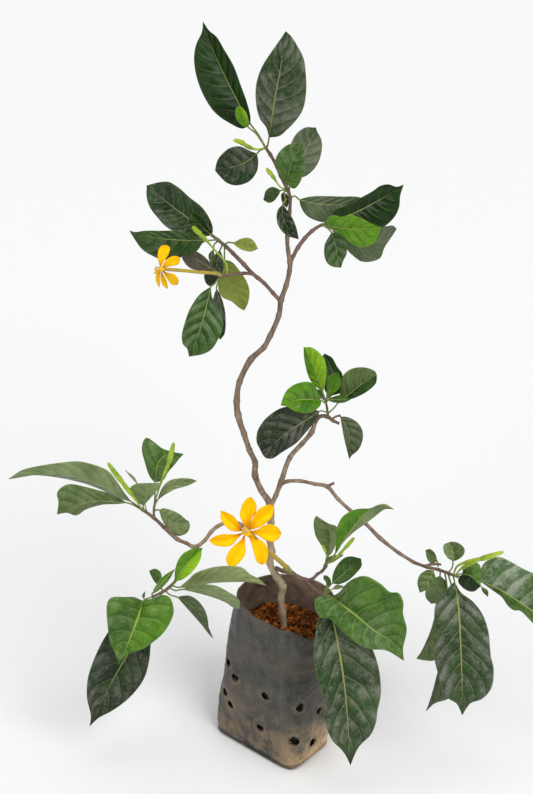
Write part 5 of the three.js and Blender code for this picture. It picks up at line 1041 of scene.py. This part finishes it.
def add_blade(sheet, spec, front, back, thickness, rows=34, half=9, quilt=0.0, veins=9):
    """A leaf or petal between its outlines. front is the materials of its two halves on the side to the eye."""
    number = round((spec["rib"][0][0] * 0.37 + spec["rib"][-1][1] * 0.11) % 1, 3)
    rib = Path(spec["rib"])
    base, tip = spec["rib"][0], spec["rib"][-1]
    edges = [Path([Vector((p[0], p[1], 0)) for p in [base, *side, tip]]) for side in (spec["left"], spec["right"])]
    stations = []
    for i in range(rows + 1):
        t = i / rows
        stations.append((t, rib.at(t), [edge.at(t) for edge in edges]))
    widths = [[math.hypot(sides[k].x - middle.x, sides[k].y - middle.y) for _, middle, sides in stations]
              for k in (0, 1)]
    widest = [max(w) for w in widths]
    grid = []
    for i, (t, middle, sides) in enumerate(stations):
        row = []
        for j in range(-half, half + 1):
            k = 0 if j < 0 else 1
            s = abs(j) / half
            fullness = widths[k][i] / widest[k]
            wave = EDGE_WAVE_HEIGHT * widest[k] * math.sin(2 * math.pi * EDGE_WAVES * t + 3 * k + base[0])
            pillow = PILLOW * widest[k] * math.sin(math.pi * s)
            slant = math.cos(2 * math.pi * vein_count(t, s, k, veins))
            swell = quilt * slant * math.sin(math.pi * min(1, 1.2 * s))
            depth = middle.z + fullness * (spec["lean"][k] * s + wave * s * s - pillow + swell)
            column = middle.x + (sides[k].x - middle.x) * s
            line = middle.y + (sides[k].y - middle.y) * s
            row.append(sight((column, line, depth)))
        grid.append(row)
    columns = 2 * half
    middle_row = rows // 2
    along_rib = grid[middle_row + 1][half] - grid[middle_row - 1][half]
    facing = (grid[middle_row][-1] - grid[middle_row][0]).cross(along_rib)
    towards_eye = facing.dot(EYE - grid[middle_row][half]) > 0
    near = [sheet.slot(material) for material in front]
    far = [sheet.slot(material) for material in back]
    upper, lower = (near, far) if towards_eye else (far, near)
    index = []
    for i in range(rows + 1):
        index.append([])
        for j in range(columns + 1):
            if i in (0, rows) and j > 0:
                index[i].append(index[i][0])
                continue
            r = min(max(i, 1), rows - 1)
            c = half if i in (0, rows) else j
            along = grid[min(r + 1, rows)][c] - grid[r - 1][c]
            across = grid[r][min(c + 1, columns)] - grid[r][max(c - 1, 0)]
            normal = across.cross(along).normalized()
            thin = thickness / 2 * (EDGE_THINNESS if c in (0, columns) else 1)
            index[i].append(len(sheet.points))
            sheet.points += [grid[i][j] + normal * thin, grid[i][j] - normal * thin]
    for i in range(rows):
        for j in range(columns):
            corners = [(i, j), (i, j + 1), (i + 1, j + 1), (i + 1, j)]
            if i == 0:
                corners = [corners[0], corners[2], corners[3]]
            elif i == rows - 1:
                corners = corners[:3]
            k = 0 if j < half else 1
            uvs = [(c / columns, r / rows) for r, c in corners]
            counts = [(vein_count(r / rows, abs(c - half) / half, k, veins), number) for r, c in corners]
            for cut in ((0, 1, 2), (0, 2, 3))[:len(corners) - 2]:
                face = [index[corners[m][0]][corners[m][1]] for m in cut]
                part_uvs, part_counts = [uvs[m] for m in cut], [counts[m] for m in cut]
                sheet.face(face, upper[k], part_uvs, part_counts)
                sheet.face([v + 1 for v in face[::-1]], lower[k], part_uvs[::-1], part_counts[::-1])
        for a, b, k in ((index[i][0], index[i + 1][0], 0), (index[i + 1][columns], index[i][columns], 1)):
            sheet.face((a, b, b + 1, a + 1), upper[k], [(float(k), i / rows)] * 4)


def add_leaf(sheet, spec, twigs):
    """A blade with its stalk, which is rooted in one of the twigs, and its rib standing out below."""
    rib = Path(spec["rib"])
    length = (sight(spec["rib"][0]) - sight(spec["rib"][-1])).length
    halves = (spec["tones"].split() * 2)[:2]
    front = [LEAF_TONES[tone] for tone in halves]
    back = [LEAF_TONES["mid" if tone == "pale" else "olive" if tone in ("lime", "bright") else "under"]
            for tone in halves]
    rows, half, quilt = LARGE_GRID if length > LARGE_LEAF else SMALL_GRID
    veins = max(4, min(8, round(2.5 + length / VEIN_SPACING)))
    add_blade(sheet, spec, front, back, LEAF_THICKNESS, rows, half, quilt, veins)
    points = [*spec["stalk"], spec["rib"][0]]
    root = root_on(twigs, points[0])
    width = spec["stalk_width"]
    clear = [p for p in points if (sight(p) - sight(root)).length > width]
    run = [[*root, width], *[[*p, width * 0.8] for p in clear], [*rib.at(STALK_REACH), width * 0.5]]
    add_twig(sheet, run, STALK, 8, 5)
    add_twig(sheet, [[*rib.at(t), share * width / STALK_WIDTH] for t, share in KEEL], back[0], 6, 4)


def add_bud(sheet, spec, twigs):
    """A pointed bud: its long lobes twist round each other towards the tip."""
    curve = Path([sight(root_on(twigs, spec["run"][0])), *[sight(p) for p in spec["run"][1:]]])
    head = spec["head"]
    neck = 1 - head
    profile = [(0, 0.32), (neck * 0.9, 0.34), *[(neck + t * head, r) for t, r in BUD_PROFILE]]
    centres, radii = [], []
    for step in range(BUD_STEPS + 1):
        t = step / BUD_STEPS
        i = max(n for n in range(len(profile) - 1) if profile[n][0] <= t + 1e-9)
        (t0, r0), (t1, r1) = profile[i], profile[i + 1]
        radii.append((r0 + (r1 - r0) * ease((t - t0) / (t1 - t0))) * spec["width"] / 2)
        centres.append(curve.at(t))
    def ripple(t, angle):
        depth = 0.2 * max(0.0, min(1.0, (t - neck) * 5))
        return 1 - depth * (0.5 + 0.5 * math.cos(4 * (angle + BUD_TWIST * t)))
    add_tube(sheet, centres, radii, 20, BUD, ripple)


def finish_piece(sheet, name, node):
    """Builds the piece that stands for that CAD node, hangs it on the root body and hides that node."""
    piece = sheet.build(name)
    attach(piece, "root")
    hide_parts(node)


# ---- The plant ----

THICK_BRANCHES = ("right_stem", "far_right", "low_left")

wood = Sheet()
add_twig(wood, TRUNK, BARK, 18, 6, 0.06)
for name, run in BRANCHES.items():
    add_twig(wood, run, BARK if name in THICK_BRANCHES else TWIG, 14, 6, 0.08)
finish_piece(wood, "stem_and_branches", "trunk_and_branches")

for name, twig_end in SPRAYS.items():
    sheet = Sheet()
    for run in twig_end["twigs"]:
        add_twig(sheet, run, SHOOT, 12, 5, 0.1)
    for leaf in twig_end["leaves"].values():
        add_leaf(sheet, leaf, twig_end["twigs"])
    finish_piece(sheet, f"{name}_leaves", name)

for name, (bearer, leaf) in YOUNG_LEAVES.items():
    sheet = Sheet()
    add_leaf(sheet, leaf, SPRAYS[bearer]["twigs"])
    finish_piece(sheet, f"{name}_blade", name)

for name, spindle in BUDS.items():
    sheet = Sheet()
    add_bud(sheet, spindle, SPRAYS[spindle["bearer"]]["twigs"])
    finish_piece(sheet, f"{name}_lobes", name)

for name, bloom in BLOOMS.items():
    corolla = Sheet()
    width = bloom["tube_width"] * 0.85
    tube = [[*p, width] for p in bloom["tube"]] + [[*bloom["mouth"], bloom["mouth_width"] * 0.8]]
    add_twig(corolla, tube, TUBE, 16, 6, tip=PETAL, tip_from=0.72)
    for spec in bloom["petals"].values():
        add_blade(corolla, spec, [PETAL] * 2, [PETAL] * 2, PETAL_THICKNESS, 26, 7)
    finish_piece(corolla, f"{name}_petals", f"{name}_corolla")
    for organ, form, material in (("calyx", "cup", CALYX), ("stigma", "club", STIGMA)):
        sheet = Sheet()
        add_twig(sheet, bloom[organ], material, 14, 6)
        finish_piece(sheet, f"{name}_{form}", f"{name}_{organ}")


# ---- The bag ----

SIDES = 160
FOOT_LEVEL = 0.02
LEVELS = [0, 0.004, 0.01, FOOT_LEVEL] + [FOOT_LEVEL + (1 - FOOT_LEVEL) * i / 76 for i in range(1, 77)]
TORN = 1.25
HOLES = [[228, 662.5], [234.5, 677.7], [224.5, 692], [230.5, 704.5], [264.9, 696], [300, 708], [319, 710.5],
         [259.8, 727.5], [312.3, 742.4]]
WIDE_HOLE = [293.9, 741.3]
FAR_HOLES = [[-30, 60, 60], [-5, 70, 25], [45, 50, 45]]
STAIN_REACH = 5.5
WRINKLED_FROM = 0.03
PUNCH_SIDES, PUNCH_REACH = 22, 4
PUNCH_LOBES, PUNCH_ROUGHNESS = 0.13, 0.1
LIPS, LIP_STEPS = 4, 5
LIP_SPREAD, LIP_FOLD = (0.5, 1.1), (0.6, 1.4)
FILM_MATERIALS = (FILM_SKIN, FILM_INSIDE, FILM_TORN)


def rim_height(direction):
    """The film's height there: the rim rises and falls between heights at equal angles."""
    turns = (direction % (2 * math.pi)) / (2 * math.pi) * len(BAG_RIM_HEIGHTS)
    low = int(turns) % len(BAG_RIM_HEIGHTS)
    high = (low + 1) % len(BAG_RIM_HEIGHTS)
    part = (1 - math.cos(math.pi * (turns - int(turns)))) / 2
    return BAG_RIM_HEIGHTS[low] + (BAG_RIM_HEIGHTS[high] - BAG_RIM_HEIGHTS[low]) * part


def bag_point(turn_part, level, inset):
    """A point of the film: turn_part is the share of a turn round it, level runs from foot to rim."""
    angle = 2 * math.pi * turn_part
    turn = math.radians(BAG_FOOT_TURN)
    opening = level ** BAG_OPENING_CURVE
    rounding = BAG_FOOT_ROUNDING * max(0.0, 1 - level / FOOT_LEVEL) ** 2
    crease = BAG_CREASE * math.sin(BAG_CREASES * angle + BAG_CREASE_TWIST * level) * math.sin(math.pi * level)
    swell = BAG_BULGE * math.sin(math.pi * level ** BAG_BULGE_CURVE) + crease - rounding - inset
    half_length, half_width = (size / 2 + (BAG_RIM_RADIUS - size / 2) * opening + swell
                               for size in (BAG_FOOT_LENGTH, BAG_FOOT_WIDTH))
    roundness = BAG_FOOT_ROUNDNESS + (1 - BAG_FOOT_ROUNDNESS) * opening
    def bend(value):
        return math.copysign(abs(value) ** roundness, value)
    x = half_length * bend(math.cos(angle))
    y = half_width * bend(math.sin(angle))
    cx, cy = (foot + (rim - foot) * level for foot, rim in zip(BAG_FOOT_CENTRE, BAG_RIM_CENTRE))
    return Vector((
        cx + x * math.cos(turn) - y * math.sin(turn),
        cy + x * math.sin(turn) + y * math.cos(turn),
        level * rim_height(angle + turn),
    ))


# Uneven film: how wide, how tall and how deep its folds are.
SOFT_FOLDS = (34, 60, 1.5)
RIDGES = (26, 15, 0.7)
CRACKLE = (8, 8, 0.3)
# Bands of level folds: their spacing, depth, middle and reach, and how much and how softly they waver.
FOOT_FOLDS = (2.6, 0.7, 0, 22, 3, 19)
RIM_FOLDS = (2.4, 0.4, 128, 24, 5, 30)
# Lines up the film: their direction at the foot in degrees, rise for each degree, width in degrees and depth.
SEAM = (196, 20, 3.5, 1.1)
SLANTING_FOLD = (300, -2.6, 5, 0.9)


def uneven(place, width, tall, depth, shift=0):
    return noise.noise(Vector((place.x / width, place.y / width, place.z / tall + shift))) * depth


def level_folds(place, spacing, depth, middle, reach, waver, softness):
    swing = math.sin(place.z / spacing + waver * noise.noise(place / softness))
    return swing * depth * max(0.0, 1 - abs(place.z - middle) / reach)


def line_up(place, direction, rise, width, depth):
    here = math.degrees(math.atan2(place.y, place.x + 4)) % 360
    return depth * math.exp(-((here - direction - place.z / rise) / width) ** 2)


def wrinkle(place):
    """How far the film stands out there, in millimetres. The seam stands out, the slanting fold sinks in."""
    width, tall, depth = RIDGES
    ridge = 1 - abs(uneven(place, width, tall, 1, 7)) * 2
    return (uneven(place, *SOFT_FOLDS) + depth * max(0.0, ridge) ** 3 + uneven(place, *CRACKLE)
            + level_folds(place, *FOOT_FOLDS) + level_folds(place, *RIM_FOLDS)
            + line_up(place, *SEAM) - line_up(place, *SLANTING_FOLD))


def bag_grid(inset):
    """The film's points, level by level, with its wrinkles."""
    grid = []
    for level in LEVELS:
        row = []
        for k in range(SIDES):
            place = bag_point(k / SIDES, level, inset)
            outward = (place - Vector((*BAG_FOOT_CENTRE, place.z))).normalized()
            row.append(place + outward * (wrinkle(place) * min(1, level / WRINKLED_FROM) - 0.3))
        grid.append(row)
    return grid


def film_body():
    """The film as one closed body: an outer and an inner skin, joined along the rim."""
    film = Sheet()
    skin, lining, _ = [film.slot(material) for material in FILM_MATERIALS]
    for inset in (0, FILM):
        for row in bag_grid(inset):
            film.points += row
    inside, top = len(LEVELS) * SIDES, (len(LEVELS) - 1) * SIDES
    for i in range(len(LEVELS) - 1):
        for k in range(SIDES):
            after = (k + 1) % SIDES
            a, b, c, d = i * SIDES + k, i * SIDES + after, (i + 1) * SIDES + after, (i + 1) * SIDES + k
            film.face((a, b, c, d), skin)
            film.face((inside + d, inside + c, inside + b, inside + a), lining)
    for k in range(SIDES):
        after = (k + 1) % SIDES
        film.face((top + k, top + after, inside + top + after, inside + top + k), skin)
    film.face(list(range(SIDES))[::-1], skin)
    film.face(list(range(inside, inside + SIDES)), skin)
    for p in film.points[inside:inside + SIDES]:
        p.z = FILM
    return film.build("film_bag")


def find_holes(bag):
    """Where the holes of the photo, and those guessed on the far side, meet the film: place, normal and radius."""
    rays = [(EYE, sight([*hole, 0]) - EYE, BAG_HOLE_RADIUS * TORN) for hole in HOLES]
    rays.append((EYE, sight([*WIDE_HOLE, 0]) - EYE, BAG_WIDE_HOLE_RADIUS))
    rays += [(Vector((3 * x, 3 * y, z)), Vector((-x, -y, 0)), BAG_HOLE_RADIUS * TORN) for x, y, z in FAR_HOLES]
    spots = []
    for origin, direction, radius in rays:
        hit, place, normal, _ = bag.ray_cast(origin * 0.001, direction.normalized())
        if hit:
            spots.append((place * 1000, normal, radius))
    return spots


def hole_cutter(centre, direction, radius, seed):
    """A ragged round punch along the given direction."""
    draw = random.Random(seed)
    sides = PUNCH_SIDES
    turn = direction.to_track_quat("Z", "Y")
    ring = [radius * (1 + PUNCH_LOBES * math.sin(3 * k / sides * 2 * math.pi + seed)
                      + draw.uniform(-PUNCH_ROUGHNESS, PUNCH_ROUGHNESS)) for k in range(sides)]
    points = [centre + turn @ polar(r, 2 * math.pi * k / sides, z)
              for z in (-PUNCH_REACH, PUNCH_REACH) for k, r in enumerate(ring)]
    faces = [(k, (k + 1) % sides, sides + (k + 1) % sides, sides + k) for k in range(sides)]
    faces += [tuple(range(sides))[::-1], tuple(range(sides, 2 * sides))]
    return points, faces


def punch(bag, spots):
    """Cuts all the holes at once. Their cut edges show torn film."""
    points, faces = [], []
    for seed, (place, normal, radius) in enumerate(spots):
        ring, sides = hole_cutter(place, normal, radius, seed)
        faces += [tuple(len(points) + n for n in side) for side in sides]
        points += ring
    mesh = bpy.data.meshes.new("punch")
    mesh.from_pydata([p * 0.001 for p in points], [], faces)
    for material in FILM_MATERIALS:
        mesh.materials.append(material)
    for polygon in mesh.polygons:
        polygon.material_index = FILM_MATERIALS.index(FILM_TORN)
    cutter = put_in_scene("punch", mesh)
    cut = bag.modifiers.new("holes", "BOOLEAN")
    cut.operation, cut.solver, cut.object = "DIFFERENCE", "EXACT", cutter
    bpy.context.view_layer.update()
    holed = bpy.data.meshes.new_from_object(bag.evaluated_get(bpy.context.evaluated_depsgraph_get()))
    bag.modifiers.clear()
    bag.data = holed
    for polygon in bag.data.polygons:
        polygon.use_smooth = True
    bpy.data.objects.remove(cutter)


def add_torn_lips(bag, spots):
    """Torn lips that hang into the holes, as part of the film."""
    lips = Sheet()
    torn = lips.slot(FILM_SKIN)
    for seed, (place, normal, radius) in enumerate(spots):
        draw = random.Random(100 + seed)
        turn = normal.to_track_quat("Z", "Y")
        for _ in range(LIPS):
            start_angle, spread = draw.uniform(0, 2 * math.pi), draw.uniform(*LIP_SPREAD)
            fold = draw.uniform(*LIP_FOLD)
            first, end = len(lips.points), len(lips.points) + 4 * LIP_STEPS
            for i in range(LIP_STEPS + 1):
                angle = start_angle + spread * i / LIP_STEPS
                hang = fold * math.sin(math.pi * i / LIP_STEPS) + 0.15
                for r, z in ((1.04, -0.1), (1.04, -0.5), (0.86 - 0.1 * hang, -hang),
                             (0.9 - 0.1 * hang, -hang - 0.35)):
                    lips.points.append(place + turn @ polar(radius * r, angle, z))
            for a in range(first, end, 4):
                b = a + 4
                for corners in ((a, b, b + 2, a + 2), (a + 1, a + 3, b + 3, b + 1), (a, a + 1, b + 1, b),
                                (a + 2, b + 2, b + 3, a + 3)):
                    lips.face(corners, torn)
            lips.face((first, first + 2, first + 3, first + 1), torn)
            lips.face((end, end + 1, end + 3, end + 2), torn)
    piece = lips.build("torn_lips")
    joined = bmesh.new()
    joined.from_mesh(bag.data)
    joined.from_mesh(piece.data)
    joined.to_mesh(bag.data)
    joined.free()
    bpy.data.objects.remove(piece)


def stain_film(bag, spots):
    """Marks the film near its holes, from 1 on their rims down to 0."""
    stain = bag.data.attributes.new("stain", "FLOAT", "POINT")
    for vertex in bag.data.vertices:
        near = min((vertex.co * 1000 - place).length - radius for place, _, radius in spots)
        stain.data[vertex.index].value = max(0.0, 1 - max(0.0, near) / STAIN_REACH)


bag = film_body()
bpy.context.view_layer.update()
spots = find_holes(bag)
punch(bag, spots)
add_torn_lips(bag, spots)
stain_film(bag, spots)
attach(bag, "root")
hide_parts("grow_bag")


# ---- The soil ----

SOIL_LEVELS = [0.02, 0.2, 0.4, 0.6, 0.72]
SOIL_RINGS = 34
SOIL_INSET, SOIL_TOP_INSET, CRUMB_INSET = 4.4, 2.6, 3.4
CRUMBS = 700
CRUMB_SIZES = (0.8, 1.0, 1.3, 1.7, 2.2, 3.0)
HOLE_CRUMBS = 7
HOLE_CRUMB_SIZES = (0.5, 0.7, 0.9)
HOLE_CRUMB_DEPTHS = (2.2, 3.4)
LUMP_RINGS, LUMP_SIDES = 4, 7
LUMP_SQUASH, LUMP_UNEVEN = (0.6, 0.95), (0.78, 1.18)
# The soil's rough top: height, width and place in the noise of its coarse and its fine lumps.
SOIL_ROUGHNESS = ((3.2, 9, 3), (2, 3.5, 8))


def add_lump(sheet, centre, radius, draw, slot):
    """One crumb of soil: a small uneven stone-like body."""
    rings, sides = LUMP_RINGS, LUMP_SIDES
    squash = draw.uniform(*LUMP_SQUASH)
    spin = draw.uniform(0, 6.28)
    start = len(sheet.points)
    sheet.points.append(centre + Vector((0, 0, -radius * squash)))
    for i in range(1, rings):
        tilt = math.pi * i / rings
        for k in range(sides):
            angle = 2 * math.pi * k / sides + spin
            r = radius * draw.uniform(*LUMP_UNEVEN)
            sheet.points.append(centre + polar(r * math.sin(tilt), angle, -r * squash * math.cos(tilt)))
    sheet.points.append(centre + Vector((0, 0, radius * squash)))
    end = len(sheet.points) - 1
    for k in range(sides):
        after = (k + 1) % sides
        sheet.face((start, start + 1 + after, start + 1 + k), slot)
        for i in range(rings - 2):
            low = start + 1 + i * sides
            sheet.face((low + k, low + after, low + sides + after, low + sides + k), slot)
        low = start + 1 + (rings - 2) * sides
        sheet.face((low + k, low + after, end), slot)


def soil_point(angle, reach, inset):
    """A place on the soil's top. reach runs from 0 in its middle to 1 at that inset from the film."""
    level = SOIL_LEVEL / rim_height(angle + math.radians(BAG_FOOT_TURN))
    edge = bag_point(angle / (2 * math.pi), level, inset)
    x, y = (middle + (outer_part - middle) * reach for middle, outer_part in zip(BAG_RIM_CENTRE, edge))
    rough = sum(height * noise.noise(Vector((x / width, y / width, shift)))
                for height, width, shift in SOIL_ROUGHNESS)
    return Vector((x, y, SOIL_LEVEL + SOIL_MOUND * (1 - reach ** 2) + rough - 0.3))


def soil_body(spots):
    """The soil under its rough top, with loose crumbs on it and in the bag's holes."""
    soil = Sheet()
    earth, damp = soil.slot(SOIL), soil.slot(SOIL_SIDE)
    for level in SOIL_LEVELS:
        soil.points += [bag_point(k / SIDES, level, SOIL_INSET) for k in range(SIDES)]
    for ring in range(SOIL_RINGS):
        reach = 1 - ring / SOIL_RINGS
        soil.points += [soil_point(2 * math.pi * k / SIDES, reach, SOIL_TOP_INSET) for k in range(SIDES)]
    rings = len(SOIL_LEVELS) + SOIL_RINGS
    for i in range(rings - 1):
        for k in range(SIDES):
            a, b = i * SIDES + k, i * SIDES + (k + 1) % SIDES
            soil.face((a, b, b + SIDES, a + SIDES), earth if i >= len(SOIL_LEVELS) else damp)
    soil.face(list(range(SIDES))[::-1], damp)
    soil.face(list(range((rings - 1) * SIDES, rings * SIDES)), earth)
    draw = random.Random(11)
    for _ in range(CRUMBS):
        angle, reach = draw.uniform(0, 2 * math.pi), math.sqrt(draw.random()) * 0.95
        size = draw.choice(CRUMB_SIZES)
        add_lump(soil, soil_point(angle, reach, CRUMB_INSET) + Vector((0, 0, size * 0.25)), size, draw, earth)
    for place, normal, radius in spots:
        turn = normal.to_track_quat("Z", "Y")
        for _ in range(HOLE_CRUMBS):
            angle, reach = draw.uniform(0, 2 * math.pi), draw.uniform(0, 0.8) * radius
            size = draw.choice(HOLE_CRUMB_SIZES)
            spot = place + turn @ polar(reach, angle, -draw.uniform(*HOLE_CRUMB_DEPTHS))
            add_lump(soil, spot, size, draw, draw.choice((earth, damp, damp)))
    return soil


finish_piece(soil_body(spots), "granular_soil", "potting_soil")


# ---- Floor, light and camera ----

FLOOR_REACH = 14
ROOM_LIGHT = 0.24
PLANT_MIDDLE = Vector((0, 0, 0.35))
SENSOR = 36

ground = bpy.data.meshes.new("floor")
ground.from_pydata([(x * FLOOR_REACH, y * FLOOR_REACH, 0) for x, y in ((-1, -1), (1, -1), (1, 1), (-1, 1))], [],
                   [(0, 1, 2, 3)])
ground.materials.append(Nodes("white_card").out(Base_Color=(0.9, 0.905, 0.905, 1), Roughness=0.9))
floor = put_in_scene("floor", ground)


def soft_sun(name, place, power, spread):
    """A wide, even light from there towards the middle of the plant."""
    light = bpy.data.lights.new(name, "SUN")
    light.energy, light.angle = power, spread
    lamp = put_in_scene(name, light)
    lamp.location = place
    lamp.rotation_euler = (PLANT_MIDDLE - Vector(place)).to_track_quat("-Z", "Y").to_euler()


soft_sun("key", (1.15, -1.75, 2.1), 1.95, 0.6)
soft_sun("fill", (-1.7, -1.3, 1.5), 0.9, 0.9)
soft_sun("top", (0.1, -0.2, 2.5), 0.95, 0.7)
world = bpy.data.worlds.new("room")
world.use_nodes = True
world.node_tree.nodes["Background"].inputs[0].default_value = (1, 1, 1, 1)
world.node_tree.nodes["Background"].inputs[1].default_value = ROOM_LIGHT
bpy.context.scene.world = world
bpy.context.scene.view_settings.view_transform = "Standard"

camera_data = bpy.data.cameras.new("camera")
camera_data.lens = SENSOR * EYE_FOCAL / (2 * MIDDLE_ROW)
camera_data.sensor_width = SENSOR
camera_data.clip_start = 0.01
camera = put_in_scene("camera", camera_data)
camera.location = EYE * 0.001
camera.rotation_euler = (math.pi / 2 - EYE_TILT, 0, 0)
bpy.context.scene.camera = camera

bpy.context.view_layer.update()
